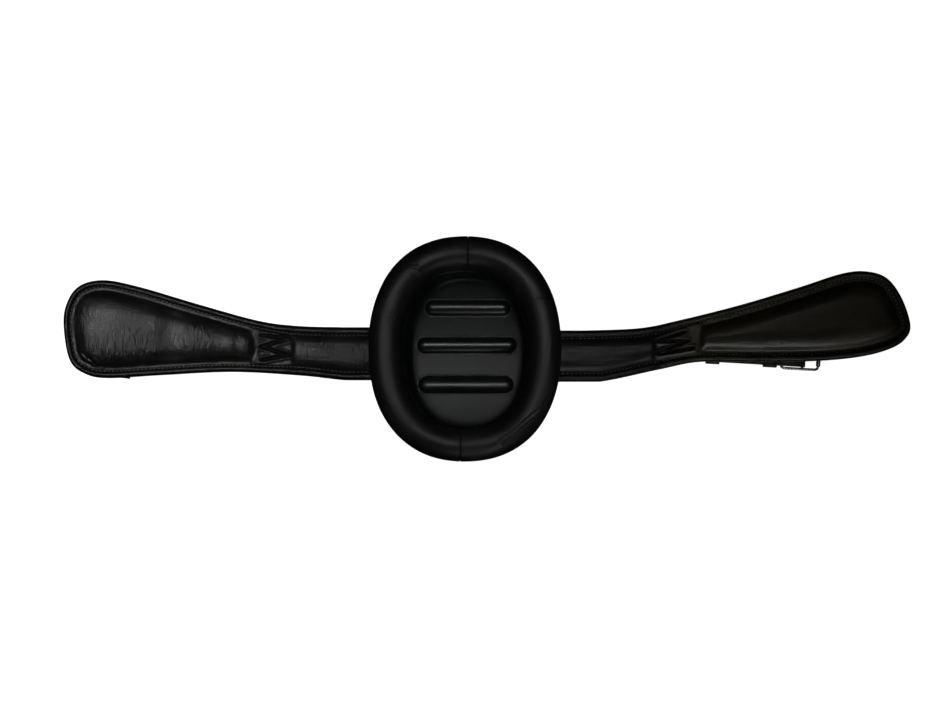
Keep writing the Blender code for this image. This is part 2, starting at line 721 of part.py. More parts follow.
def add_pivots(left, right, frame):
    add_pivot("cup", (0.0, 0.0, 0.0))
    for side in (left, right):
        arm_top = CUP_BASE + PAD_HEIGHT
        add_pivot(side.name + "_arm", (side.sign * ARM_HINGE, 0.0, arm_top), "cup")
        fold_top = side.base + BACK_THICK + GAP + 2 * BEAD_RADIUS
        add_pivot(side.name + "_wing", (side.fold, 0.0, fold_top), side.name + "_arm")
    add_pivot("billet", BILLET_FOLD, "left_wing")
    add_pivot("buckle_strap", STRAP_START, "right_wing")
    add_pivot("sliding_keeper", frame @ Vector((SLIDING_KEEPER_AT, 0, 0)), "buckle_strap")
    add_pivot("buckle_frame", frame @ Vector((BAR_AT, 0, -FRAME_DROP)), "buckle_strap")
    add_pivot("buckle_tongue", frame @ Vector((BAR_AT, 0, -FRAME_DROP)), "buckle_frame")
    roller_x = FRAME_START + FRAME_LENGTH - FRAME_WIRE
    add_pivot("buckle_roller", frame @ Vector((roller_x, 0, -FRAME_DROP)), "buckle_frame")


def main():
    clear_scene()
    left = Side("left", LEFT_EDGE, LEFT_FOLD, LEFT_PAD_START, LEFT_BASE)
    right = Side("right", RIGHT_EDGE, RIGHT_FOLD, RIGHT_PAD_START, RIGHT_BASE)
    frame = strap_frame(STRAP_START, STRAP_ANGLE)
    add_pivots(left, right, frame)
    make_cup()
    zigzags = {
        "left": [(-186.8, 12.4), (-161.5, 9.2), (-187.7, 2.1), (-162.0, -5.5), (-186.8, -9.7)],
        "right": [(201.5, 13.0), (178.5, 7.4), (204.2, 7.4), (178.5, -4.1), (207.5, 1.9)],
    }
    for side in (left, right):
        make_tab(side)
        make_arm(side)
        make_wing(side, zigzags[side.name])
    make_billet()
    make_buckle_strap(frame)
    make_buckle(frame)


main()
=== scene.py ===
# %% [markdown]
# # A boxing belly guard
# The guard is a hard oval cup with a fat leather roll round its mouth. A padded leather belt
# carries it: on each side a narrow arm, a tacked fold and a broad wing, closed behind the
# wearer with a strap and a roller buckle. This lesson dresses the engineering model, part by
# part, in leather, thread and steel. The model gives every place and size, so we load it first.
# %% Load the engineering model
import json
import math

import bmesh
import bpy
import numpy as np
from mathutils import Matrix, Vector, noise
from mathutils.bvhtree import BVHTree


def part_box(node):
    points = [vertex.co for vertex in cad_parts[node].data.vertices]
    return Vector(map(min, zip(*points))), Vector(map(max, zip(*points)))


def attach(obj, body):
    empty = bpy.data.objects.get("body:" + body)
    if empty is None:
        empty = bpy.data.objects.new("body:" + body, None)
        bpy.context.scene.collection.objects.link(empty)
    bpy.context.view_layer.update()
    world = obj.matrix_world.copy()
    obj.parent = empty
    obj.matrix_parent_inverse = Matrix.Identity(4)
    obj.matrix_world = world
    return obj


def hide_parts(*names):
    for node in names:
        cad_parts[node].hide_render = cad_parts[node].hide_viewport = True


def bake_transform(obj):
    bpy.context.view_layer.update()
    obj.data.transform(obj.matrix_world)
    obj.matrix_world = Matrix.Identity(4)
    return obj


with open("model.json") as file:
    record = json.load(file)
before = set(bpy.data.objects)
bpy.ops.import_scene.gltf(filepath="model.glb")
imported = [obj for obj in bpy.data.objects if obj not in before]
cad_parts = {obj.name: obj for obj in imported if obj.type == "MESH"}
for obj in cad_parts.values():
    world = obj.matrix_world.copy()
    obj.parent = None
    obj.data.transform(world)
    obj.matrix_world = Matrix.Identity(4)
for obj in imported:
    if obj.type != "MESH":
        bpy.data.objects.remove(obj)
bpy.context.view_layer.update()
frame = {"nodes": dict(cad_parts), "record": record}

MM = 0.001

# %% [markdown]
# ## Camera
# The guard lies on its dome and is seen from straight above, from far away, so that the deep
# cup and the low wings keep their true proportions. A long lens from three metres does that.
# %% Camera above the guard
VIEW_HEIGHT = 3.0
VIEW_WIDTH = 0.874            # metres of the guard's plane that fill the frame's width
VIEW_MIDDLE = (0.0092, -0.0069)
WING_LEVEL = 0.014
SENSOR = 36.0
camera_data = bpy.data.cameras.new("overhead_camera")
camera_data.sensor_width = SENSOR
camera_data.lens = SENSOR * (VIEW_HEIGHT - WING_LEVEL) / VIEW_WIDTH
camera_data.clip_end = 20.0
camera = bpy.data.objects.new("overhead_camera", camera_data)
camera.location = (*VIEW_MIDDLE, VIEW_HEIGHT)
bpy.context.collection.objects.link(camera)
bpy.context.scene.camera = camera
print("lens, mm:", round(camera_data.lens, 1))

# %% [markdown]
# ## Shader arithmetic
# A shader graph is a formula drawn as boxes. It is easier to read as a formula, so one small
# class wraps a socket and lets us write `1 - mask * 0.5`; each operation adds its Math node.
# Every other kind of node goes through one function.
# %% Sockets that can be added and multiplied
class Signal:
    """A number that varies over a surface: one output socket of a material's graph."""

    def __init__(self, tree, socket):
        self.tree = tree
        self.socket = socket

    def combine(self, operation, first, second=None):
        node = self.tree.nodes.new("ShaderNodeMath")
        node.operation = operation
        for place, value in zip(node.inputs, (first, second)):
            if value is not None:
                plug(self.tree, place, value)
        return Signal(self.tree, node.outputs[0])

    def __add__(self, other):
        return self.combine("ADD", self, other)

    def __mul__(self, other):
        return self.combine("MULTIPLY", self, other)

    def __sub__(self, other):
        return self.combine("SUBTRACT", self, other)

    def __rsub__(self, other):
        return self.combine("SUBTRACT", other, self)

    def __pow__(self, other):
        return self.combine("POWER", self, other)

    __radd__ = __add__
    __rmul__ = __mul__

    def between(self, low, high):
        """0 below low, 1 above high, and a smooth step from one to the other."""
        return add_node(self.tree, "ShaderNodeMapRange", {"interpolation_type": "SMOOTHSTEP"},
                        Value=self, From_Min=low, From_Max=high)["Result"]

    def absolute(self):
        return self.combine("ABSOLUTE", self)


def plug(tree, place, value):
    """Feed a socket from a signal, or set it to a plain value."""
    if isinstance(value, Signal):
        tree.links.new(value.socket, place)
    else:
        place.default_value = value


def add_node(tree, kind, settings=None, **values):
    """Add a node: its settings first, then its sockets; returns its outputs by name."""
    node = tree.nodes.new(kind)
    for setting, value in (settings or {}).items():
        setattr(node, setting, value)
    for socket, value in values.items():
        plug(tree, node.inputs[socket.replace("_", " ")], value)
    return {out.name: Signal(tree, out) for out in node.outputs if out.enabled}


class Finish:
    """A Principled material under construction."""

    def __init__(self, name, **constants):
        self.material = bpy.data.materials.new(name)
        self.material.use_nodes = True
        self.tree = self.material.node_tree
        self.shader = self.tree.nodes["Principled BSDF"]
        for socket, value in constants.items():
            self.shader.inputs[socket.replace("_", " ")].default_value = value
        self.place = self.node("ShaderNodeTexCoord")["Object"]

    def node(self, kind, settings=None, **values):
        return add_node(self.tree, kind, settings, **values)

    def noise(self, scale, detail=2.0, place=None):
        return self.node("ShaderNodeTexNoise", Vector=place or self.place, Scale=scale,
                         Detail=detail)["Fac"]

    def cells(self, scale):
        return self.node("ShaderNodeTexVoronoi", {"feature": "DISTANCE_TO_EDGE"},
                         Vector=self.place, Scale=scale)["Distance"]

    def stretched(self, scale, turn=0.0):
        """Object coordinates squeezed along one direction, for streaks and creases."""
        return self.node("ShaderNodeMapping", Vector=self.place, Rotation=(0.0, 0.0, turn),
                         Scale=scale)["Vector"]

    def mix(self, amount, first, second):
        """A colour between two colours."""
        node = self.tree.nodes.new("ShaderNodeMix")
        node.data_type = "RGBA"
        # A Mix node has sockets for numbers, vectors and colours; these are the colours' ones.
        for place, value in ((0, amount), (6, first), (7, second)):
            plug(self.tree, node.inputs[place], value)
        return Signal(self.tree, node.outputs[2])

    def bump(self, height, distance, strength=1.0, under=None):
        values = {"Height": height, "Distance": distance, "Strength": strength}
        if under:
            values["Normal"] = under
        return self.node("ShaderNodeBump", **values)["Normal"]

    def feed(self, socket, signal):
        self.tree.links.new(signal.socket, self.shader.inputs[socket])


def grey(value, warm=0.0):
    return (value * (1 + warm), value, value * (1 - warm), 1.0)


print("shader helpers ready")

# %% [markdown]
# ## Leather
# Finished black leather is a dark base under a satin top coat. Close up it has a fine cell
# grain, sparse creases where it has been bent, darkened in colour as painted shade, and a
# worn, slightly greyer and rougher bloom.
# Voronoi cells give the grain, the zero line of a noise gives creases, and a slow noise
# decides where the coat has dulled. Everything uses object coordinates, in metres. The right
# wing's leather is browner than its arm's, so that one leather changes its tint along the belt.
# %% Leather finishes
PLAIN_TONE = 0.008
DARKEST = 0.7                 # shares of the tone in the deep and in the worn places
LIGHTEST = 1.8
TINT_FADE = 0.02


def leather(name, tone, tint=(1.0, 1.0, 1.0), gloss=0.30, grain=1.0, crease=1.0, shine=0.5,
            tinted_from=None):
    def shade(amount):
        return tuple(tone * amount * part for part in tint) + (1.0,)

    skin = Finish(name, Specular_IOR_Level=shine)
    bloom = skin.noise(24.0, 4.0).between(0.42, 0.70)
    mottling = skin.noise(240.0, 3.0)
    worn = bloom * 0.6 + mottling * 0.3
    colour = skin.mix(worn, shade(DARKEST), shade(LIGHTEST))
    if tinted_from:
        along = skin.node("ShaderNodeSeparateXYZ", Vector=skin.place)["X"]
        plain = skin.mix(worn, grey(PLAIN_TONE * DARKEST), grey(PLAIN_TONE * LIGHTEST))
        tinted = along.between(tinted_from - TINT_FADE, tinted_from + TINT_FADE)
        colour = skin.mix(tinted, plain, colour)
    pebble = skin.cells(640.0).between(0.0, 0.30)
    pores = skin.noise(1900.0, 3.0)
    across = skin.stretched((1.0, 0.22, 1.0), 0.12)
    ripple = skin.noise(420.0, 2.0, across).between(0.35, 0.65)
    rippled = skin.noise(30.0, 2.0).between(0.48, 0.62)
    fold = 1 - (skin.noise(70.0, 2.0, skin.stretched((1.0, 0.35, 1.0), 0.35)) - 0.5).absolute()
    creases_and_shade = fold.between(0.985, 1.0) * skin.noise(19.0).between(0.52, 0.70)
    height = (pebble * 0.5 + pores * 0.6 + ripple * rippled * 1.5 * crease
              - creases_and_shade * 0.8 * crease)
    # The creases are carved by the bump and also darken the colour: painted shade in the folds.
    skin.feed("Base Color", skin.mix(creases_and_shade * 0.3, colour, shade(0.4)))
    skin.feed("Roughness", gloss + bloom * 0.10 + mottling * 0.10 - pebble * 0.04)
    skin.feed("Normal", skin.bump(height, 0.00010 * grain))
    return skin.material


BROWN = (1.35, 1.20, 0.60)
black_leather = leather("black_leather", PLAIN_TONE, (1.02, 1.02, 0.93), grain=1.5, crease=1.4)
roll_leather = leather("roll_leather", 0.010, (0.98, 1.03, 0.95), gloss=0.38, grain=0.55,
                       crease=0.4)
brown_black_leather = leather("brown_black_leather", 0.016, BROWN, gloss=0.30, grain=0.8,
                              crease=0.5, shine=0.35, tinted_from=0.195)
strap_leather = leather("strap_leather", 0.009, (1.05, 1.0, 0.9), gloss=0.42, grain=0.8)
dome_leather = leather("dome_leather", 0.010, gloss=0.40, grain=1.2)
print("leathers:", black_leather.name, roll_leather.name, brown_black_leather.name)

# %% [markdown]
# ## Moulded shell, thread and steel
# The shell is a dull moulding with a dusty bloom and a few light marks. The seams are sewn with
# a black waxed, twisted cord whose colour is made light grey, a painted highlight that shows
# the stitches as light dots, and the tacks with a black one. The buckle is nickel-plated steel
# with fine wiping scratches.
# %% Other finishes
def moulding(name, gloss, shine):
    skin = Finish(name, Specular_IOR_Level=shine)
    bloom = skin.noise(34.0, 4.0)
    dust = skin.noise(900.0, 2.0)
    specks = skin.noise(260.0, 1.0).between(0.735, 0.80) * skin.noise(30.0).between(0.5, 0.62)
    tone = skin.mix(bloom.between(0.35, 0.7), (0.006, 0.0085, 0.008, 1), (0.011, 0.014, 0.013, 1))
    skin.feed("Base Color", skin.mix(specks * 0.55, tone, (0.075, 0.08, 0.08, 1)))
    skin.feed("Roughness", gloss + bloom * 0.10 + dust * 0.05)
    skin.feed("Normal", skin.bump(dust + bloom * 0.5, 0.000012))
    return skin.material


def waxed_thread(name, low, high):
    skin = Finish(name, Specular_IOR_Level=0.4)
    twist = skin.noise(1500.0, 1.0, skin.stretched((1.0, 2.4, 1.0), 0.7))
    skin.feed("Base Color", skin.mix(twist, grey(low, 0.05), grey(high, 0.05)))
    skin.feed("Roughness", 0.42 + twist * 0.2)
    skin.feed("Normal", skin.bump(twist, 0.00012))
    return skin.material


def plated_steel():
    skin = Finish("plated_steel")
    wipe = skin.noise(900.0, 3.0, skin.stretched((1.0, 0.08, 1.0), 0.2))
    wear = skin.noise(160.0, 3.0).between(0.5, 0.7)
    skin.feed("Base Color", skin.mix(wear, (0.66, 0.65, 0.63, 1), (0.50, 0.48, 0.45, 1)))
    skin.feed("Roughness", 0.16 + wipe * 0.16 + wear * 0.10)
    skin.feed("Normal", skin.bump(wipe, 0.00001))
    skin.shader.inputs["Metallic"].default_value = 1.0
    return skin.material


shell_moulding = moulding("shell_moulding", 0.25, 0.16)
bar_moulding = moulding("bar_moulding", 0.22, 0.5)
# The seam thread is black; its light grey is a painted highlight, so the stitches show as light
# dots.
thread = waxed_thread("seam_thread_painted_highlight", 0.09, 0.24)
dark_thread = waxed_thread("tack_thread", 0.010, 0.030)
steel = plated_steel()
print("finishes:", shell_moulding.name, thread.name, steel.name)

# %% [markdown]
# ## Turning points into pieces
# All pieces here are built as grids of points joined by four-sided faces. This helper makes
# the mesh, turns its faces outwards, shades it smooth, hides the model's parts that it stands
# for, and hangs it on its body if it has one.
# %% A helper that makes one piece
def make_piece(name, points, faces, material, stands_for=(), body=None, sharp=None):
    bm = bmesh.new()
    verts = [bm.verts.new(p) for p in points]
    for face in faces:
        ring = list(dict.fromkeys(face))
        if len(ring) > 2:
            bm.faces.new([verts[i] for i in ring])
    bmesh.ops.recalc_face_normals(bm, faces=bm.faces)
    mesh = bpy.data.meshes.new(name)
    bm.to_mesh(mesh)
    bm.free()
    mesh.shade_smooth()
    if sharp:
        mesh.set_sharp_from_angle(angle=math.radians(sharp))
    mesh.materials.append(material)
    piece = bpy.data.objects.new(name, mesh)
    bpy.context.collection.objects.link(piece)
    if stands_for:
        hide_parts(*stands_for)
    if body:
        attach(piece, body)
    print("%-24s %6d points" % (name, len(mesh.vertices)))
    return piece


def grid_faces(rows, columns, wrap_rows=False, wrap_columns=False):
    """Quads between neighbouring rows of a grid whose points are stored row by row."""
    faces = []
    for r in range(rows if wrap_rows else rows - 1):
        for c in range(columns if wrap_columns else columns - 1):
            d = (c + 1) % columns
            s = (r + 1) % rows
            faces.append((r * columns + c, r * columns + d, s * columns + d, s * columns + c))
    return faces


def smooth_value(points, x):
    """A smooth curve through (x, y) points in rising x, flat beyond its two ends."""
    xs = [p[0] for p in points]
    ys = [p[1] for p in points]
    if x <= xs[0]:
        return ys[0]
    if x >= xs[-1]:
        return ys[-1]
    k = next(i for i in range(1, len(xs)) if x <= xs[i]) - 1
    slopes = []
    for i in (k, k + 1):
        if 0 < i < len(xs) - 1:
            slopes.append((ys[i + 1] - ys[i - 1]) / (xs[i + 1] - xs[i - 1]))
        else:
            slopes.append(0.0)
    h = xs[k + 1] - xs[k]
    t = (x - xs[k]) / h
    return ((2 * t ** 3 - 3 * t ** 2 + 1) * ys[k] + (t ** 3 - 2 * t ** 2 + t) * h * slopes[0]
            + (3 * t ** 2 - 2 * t ** 3) * ys[k + 1] + (t ** 3 - t ** 2) * h * slopes[1])


def soft_step(share):
    """0 up to a share of 0, 1 from a share of 1, and a smooth climb between them."""
    return smooth_value([(0, 0), (1, 1)], share)


def bell(distance, width):
    return math.exp(-(distance / width) ** 2)


def distance_to_line(p, a, b):
    """Distance from p to the straight line between a and b, in any number of dimensions."""
    along = b - a
    share = max(0.0, min(1.0, (p - a).dot(along) / along.length_squared))
    return (p - a - along * share).length


# %% [markdown]
# ## The cup's outline
# Seen from above the cup is a superellipse, a little squarer than an oval. The half sizes come
# from the two roll covers of the model. A point of the outline and its outward direction are
# all that the roll, the shell and the dome need: each is a section carried round this line.
# %% Outline of the cup
left_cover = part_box("rim_cover_left")
right_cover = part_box("rim_cover_right")
CUP_HALF_WIDTH = (right_cover[1].x - left_cover[0].x) / 2
CUP_HALF_HEIGHT = (left_cover[1].y - left_cover[0].y) / 2
ROLL_RADIUS = 0.0155
ROLL_TOP = left_cover[1].z
ROLL_CENTRE = ROLL_TOP - ROLL_RADIUS
CUP_POWER = 2.25


def outline_point(turn):
    c, s = math.cos(turn), math.sin(turn)
    x = CUP_HALF_WIDTH * math.copysign(abs(c) ** (2 / CUP_POWER), c)
    y = CUP_HALF_HEIGHT * math.copysign(abs(s) ** (2 / CUP_POWER), s)
    nx = math.copysign(abs(x / CUP_HALF_WIDTH) ** (CUP_POWER - 1), x) / CUP_HALF_WIDTH
    ny = math.copysign(abs(y / CUP_HALF_HEIGHT) ** (CUP_POWER - 1), y) / CUP_HALF_HEIGHT
    length = math.hypot(nx, ny)
    return Vector((x, y, 0.0)), Vector((nx / length, ny / length, 0.0))


print("cup, m: %.4f x %.4f" % (2 * CUP_HALF_WIDTH, 2 * CUP_HALF_HEIGHT))

# %% [markdown]
# ## The rim roll
# On the real guard a foam ring is covered by two lengths of leather that butt at the top and
# at the bottom. A torus primitive would be too even, so each half is a section carried along
# the outline: it dips at the butt seams, it swells and sinks a little like stuffed leather,
# and it carries creases where the leather was pulled round the bend.
# %% Rim roll in two halves
ROLL_STATIONS = 400
ROLL_SIDES = 112
TOP_SEAM = math.radians(88.8)
BOTTOM_SEAM = math.radians(268.0)
SEAM_REACH = 0.0009           # how far from a seam the leather starts to dip
SEAM_DEPTH = 0.0007
SEAM_STATIONS = [0.0, 0.12, 0.3, 0.55, 0.9, 1.4]    # extra sections near a seam, mm from it
ROLL_SLACK = 0.0003           # the leather is drawn in by this, so that its swells stay in size
CREASE_NEAR = 60.0            # a crease is looked at only this near its first end, mm

# Creases on the roll: two ends (x, y), depth and half width, all in millimetres.
ROLL_CREASES = [
    ((30.0, -84.5), (66.0, -55.5), 0.50, 0.95),
    ((34.5, -87.0), (63.0, -62.0), 0.30, 0.80),
    ((71.5, -50.0), (79.5, -38.0), 0.40, 0.90),
    ((-55.0, 75.5), (-44.0, 71.0), 0.60, 0.75),
    ((-54.0, 78.5), (-42.5, 75.5), 0.50, 0.75),
    ((-50.5, 72.0), (-41.5, 67.5), 0.45, 0.70),
    ((65.0, 45.5), (79.0, 47.0), 0.30, 0.80),
    ((66.0, 41.0), (77.0, 42.0), 0.16, 0.70),
    ((-67.5, 33.0), (-64.0, 27.0), 0.30, 0.90),
    ((-69.5, 28.0), (-67.0, 25.0), 0.35, 0.80),
    ((73.0, -12.0), (76.0, 8.0), 0.12, 1.20),
    ((-73.0, -48.0), (-62.0, -66.0), 0.12, 1.20),
]


def roll_point(turn, side_angle, seam_distance):
    base, normal = outline_point(turn)
    outward = normal * math.cos(side_angle) + Vector((0, 0, 1)) * math.sin(side_angle)
    centre = base - normal * ROLL_RADIUS + Vector((0, 0, ROLL_CENTRE))
    point = centre + outward * ROLL_RADIUS
    swell = 0.28 * MM * noise.noise(point * 21.0) + 0.10 * MM * noise.noise(point * 64.0)
    if 0.1 < side_angle < math.pi - 0.1:
        flat = Vector((point.x / MM, point.y / MM, 0.0))
        for a, b, depth, width in ROLL_CREASES:
            if (flat - Vector((*a, 0.0))).length > CREASE_NEAR:
                continue
            gap = distance_to_line(flat, Vector((*a, 0.0)), Vector((*b, 0.0)))
            swell += depth * MM * (0.55 * bell(gap - 2.1 * width, width) - bell(gap, width))
    dip = SEAM_DEPTH * (1 - min(1.0, seam_distance / SEAM_REACH)) ** 2
    pucker = 0.22 * MM * bell(seam_distance / MM, 5.0) * math.sin(9 * side_angle)
    return point + outward * (swell - dip + pucker - ROLL_SLACK)


def roll_half(name, node, first, last):
    points = []
    half_way = math.pi * (CUP_HALF_WIDTH + CUP_HALF_HEIGHT) / 2
    close = [gap * MM / half_way for gap in SEAM_STATIONS]
    regular = [i / ROLL_STATIONS for i in range(2, ROLL_STATIONS - 1)]
    shares = close + regular + [1 - share for share in reversed(close)]
    for share in shares:
        turn = first + (last - first) * share
        edge = min(share, 1 - share) * half_way
        for k in range(ROLL_SIDES):
            points.append(roll_point(turn, 2 * math.pi * k / ROLL_SIDES, edge))
    faces = grid_faces(len(shares), ROLL_SIDES, wrap_columns=True)
    faces.append(tuple(range(ROLL_SIDES)))
    faces.append(tuple(range(len(points) - ROLL_SIDES, len(points))))
    piece = make_piece(name, points, faces, roll_leather, (node,), "cup",
                       sharp=60)
    return piece


SEAM_GAP = 0.0002
roll_left = roll_half("rim_roll_left", "rim_cover_left", TOP_SEAM + SEAM_GAP,
                      BOTTOM_SEAM - SEAM_GAP)
roll_half("rim_roll_right", "rim_cover_right", BOTTOM_SEAM + SEAM_GAP,
          TOP_SEAM - SEAM_GAP + 2 * math.pi)
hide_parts("rim_core")

# %% [markdown]
# ## The moulded shell
# Inside the roll the shell shows a narrow ledge, a steep wall and a flat floor. It is one
# moulding, so it is built as rings from the ledge down to the floor, and closed underneath
# where the dome hides it. The floor sits a little low and to one side of the rim.
# %% Shell
SHELL_SEGMENTS = 192
FLOOR_SHIFT = Vector((0.0024, -0.0042, 0.0))
END_SHARE = 0.07              # the bowl's ends slope out by this share of their inset

# Rings of the shell from the ledge inwards: inset and height in mm, share of the floor's shift.
SHELL_RINGS = [
    (20.0, 46.0, 0.0), (27.5, 45.0, 0.0), (30.2, 42.6, 0.0), (31.2, 41.4, 0.0),
    (32.0, 41.0, 0.05), (32.7, 40.3, 0.08), (33.1, 38.6, 0.12), (33.6, 33.0, 0.35),
    (34.1, 26.0, 0.65), (34.7, 20.5, 0.85), (35.5, 17.3, 0.96), (37.0, 15.6, 1.0),
    (39.5, 15.1, 1.0), (44.0, 15.0, 1.0),
]
FLOOR_LEVEL = 15.0            # mm
# Inner rings of the floor, as shares of its outermost ring.
FLOOR_SHARES = [0.93, 0.86, 0.78, 0.7, 0.61, 0.52, 0.43, 0.34, 0.25, 0.16, 0.08]
# Rings of the hidden underside, from its middle outwards.
SHELL_UNDER = [
    (42.0, 12.4, 1.0), (38.0, 13.0, 1.0), (32.5, 17.5, 0.8),
    (30.2, 27.0, 0.5), (28.0, 36.0, 0.1), (21.0, 43.0, 0.0),
]
DISH_LOW = 14.0               # the floor is lowest along this line, mm
DISH_DEPTH = 0.00100          # rise in mm at 1 mm from that line; it grows with the square


def dish(y):
    return DISH_DEPTH * (y / MM - DISH_LOW) ** 2 * MM


def shell_ring(inset, height, shift):
    ring = []
    for i in range(SHELL_SEGMENTS):
        base, normal = outline_point(2 * math.pi * i / SHELL_SEGMENTS)
        end_share = 1 - END_SHARE * shift
        point = Vector((base.x - normal.x * inset * MM, base.y - normal.y * inset * end_share * MM,
                        height * MM)) + FLOOR_SHIFT * shift
        point.z += dish(point.y) * shift ** 3 + 0.05 * MM * noise.noise(point * 40.0)
        ring.append(point)
    return ring


def closed_bowl(inside_rings, outside_rings, shares, floor_height=None):
    """Points and faces of a bowl: rings down the inside, a floor, and rings up the outside."""
    def narrowed(ring, share):
        middle = sum(ring, Vector()) / len(ring)
        return [middle + (point - middle) * share for point in ring]

    rings = list(inside_rings)
    rings += [narrowed(inside_rings[-1], share) for share in shares]
    if floor_height:
        for point in (p for ring in rings[-len(shares):] for p in ring):
            point.z = floor_height(point.y)
    floor_end = len(rings)
    rings += [narrowed(outside_rings[0], share) for share in reversed(shares)]
    rings += outside_rings
    around = len(rings[0])
    faces = [f for f in grid_faces(len(rings), around, wrap_rows=True, wrap_columns=True)
             if f[0] // around != floor_end - 1]
    points = [point for ring in rings for point in ring]
    for row in (floor_end - 1, floor_end):
        middle = sum(rings[row], Vector()) / around
        if floor_height and row == floor_end - 1:
            middle.z = floor_height(middle.y)
        points.append(middle)
        first = row * around
        faces += [(first + k, first + (k + 1) % around, len(points) - 1) for k in range(around)]
    return points, faces


shell_points, shell_faces = closed_bowl([shell_ring(*ring) for ring in SHELL_RINGS],
                                        [shell_ring(*ring) for ring in SHELL_UNDER],
                                        FLOOR_SHARES, lambda y: FLOOR_LEVEL * MM + dish(y))
bowl_shell = make_piece("bowl_shell", shell_points, shell_faces, shell_moulding,
                        ("cup_shell",), "cup", sharp=50)

# %% [markdown]
# ## The three bars
# The bars stiffen the floor: long mounds with half-round ends, each in a shallow ring. They are
# modelled as nested outlines, from the ring's outer edge over its lip, down into the crease and
# up over the crown. The floor is dished a little, so each outline follows its height. Nested
# outlines keep the rounding even all the way round the ends.
# %% Raised bars
# Middle x, middle y, length and width of each bar, in mm.
BARS = {"bar_upper": (2.6, 37.6, 78.5, 14.4), "bar_middle": (1.8, 3.4, 92.0, 14.9),
        "bar_lower": (0.9, -32.7, 87.7, 16.2)}
BAR_RISE = 5.6
# Distance in from the bar's edge and height over the floor of the ring round it, in mm.
BAR_COLLAR = [(-1.7, -0.4), (-1.35, 0.12), (-0.85, 0.30), (-0.35, 0.2), (-0.05, -0.1)]
BAR_CROWN_STEPS = 12
BAR_END_STEPS = 28
BAR_SIDE_STEPS = 10


def bar_section(width):
    """A low collar, then a rounded crown that starts almost upright."""
    crown = []
    for k in range(BAR_CROWN_STEPS + 1):
        angle = math.pi / 2 * k / BAR_CROWN_STEPS
        crown.append((width / 2 * (1 - math.cos(angle)) * 0.99, BAR_RISE * math.sin(angle)))
    return BAR_COLLAR + crown


def bar_outline(bar, inset):
    middle_x, middle_y, length, width = bar
    radius = max(0.05, width / 2 - inset)
    straight = (length - width) / 2
    outline = []
    for sign, first in ((1, -90), (-1, 90)):
        for k in range(BAR_END_STEPS + 1):
            angle = math.radians(first + 180 * k / BAR_END_STEPS)
            outline.append((middle_x + sign * straight + radius * math.cos(angle),
                            middle_y + radius * math.sin(angle)))
        for k in range(1, BAR_SIDE_STEPS):
            outline.append((middle_x + sign * straight * (1 - 2 * k / BAR_SIDE_STEPS),
                            middle_y + sign * radius))
    return outline


for bar_name, bar in BARS.items():
    bar_points = []
    section = bar_section(bar[3])
    for inset, rise in section:
        for x, y in bar_outline(bar, inset):
            bar_points.append(Vector((x * MM, y * MM, (FLOOR_LEVEL + rise) * MM + dish(y * MM))))
    around = len(bar_points) // len(section)
    bar_faces = grid_faces(len(section), around, wrap_columns=True)
    bar_faces.append(tuple(range(around)))
    bar_faces.append(tuple(range(len(bar_points) - around, len(bar_points))))
    make_piece(bar_name, bar_points, bar_faces, bar_moulding, (), "cup")

# %% [markdown]
# ## The dome
# The front of the cup, which the guard lies on, is padded leather over the shell. It is one
# bowl of leather, slightly puffed by the padding under it, with its inside built as well.
# %% Dome leather
# Inset and height of each ring, in mm: outside from the rim down, inside from the middle up.
DOME_PROFILE = [(16.0, 37.0), (15.2, 34.4), (14.9, 30.0), (14.9, 24.0), (15.4, 18.5), (17.0, 14.0),
                (19.5, 10.4), (23.5, 7.2), (28.5, 4.6), (35.0, 2.5), (42.0, 1.1), (52.0, 0.25)]
DOME_INSIDE = [(52.0, 2.0), (42.0, 3.2), (28.0, 7.5), (19.0, 15.5), (17.2, 24.0), (17.4, 36.5)]


def dome_ring(inset, height, outside):
    ring = []
    for i in range(SHELL_SEGMENTS):
        base, normal = outline_point(2 * math.pi * i / SHELL_SEGMENTS)
        depth = min(1.0, max(0.0, (35.0 - height) / 15.0))
        point = Vector((base.x - normal.x * inset * MM,
                        base.y - normal.y * inset * (1 - END_SHARE * depth) * MM, height * MM))
        if outside:
            puff = 0.25 * MM * noise.noise(point * 30.0)
            point += (normal * 0.75 - Vector((0, 0, 0.5))) * puff * min(1.0, inset / 18.0)
            point.z = max(point.z, 0.00005)
        ring.append(point)
    return ring


dome_points, dome_faces = closed_bowl([dome_ring(*pair, True) for pair in DOME_PROFILE],
                                      [dome_ring(*pair, False) for pair in DOME_INSIDE],
                                      FLOOR_SHARES)
dome = make_piece("dome_leather", dome_points, dome_faces, dome_leather,
                  ("front_cover", "cup_foam"), "cup", sharp=50)

# %% [markdown]
# ## Swelling the pads
# The leather over a pad takes the shape of the stuffing. Cloth simulation finds it: a copy of
# each foam core is remeshed into even faces, inflated gently without gravity, and kept from
# moving too far. The leather is then laid over it by asking, at each point, how high it stands.
# %% Inflated pads
SWELL_VOXEL = 0.0042
SWELL_FRAMES = 16
SWELL_CAP = 0.0030


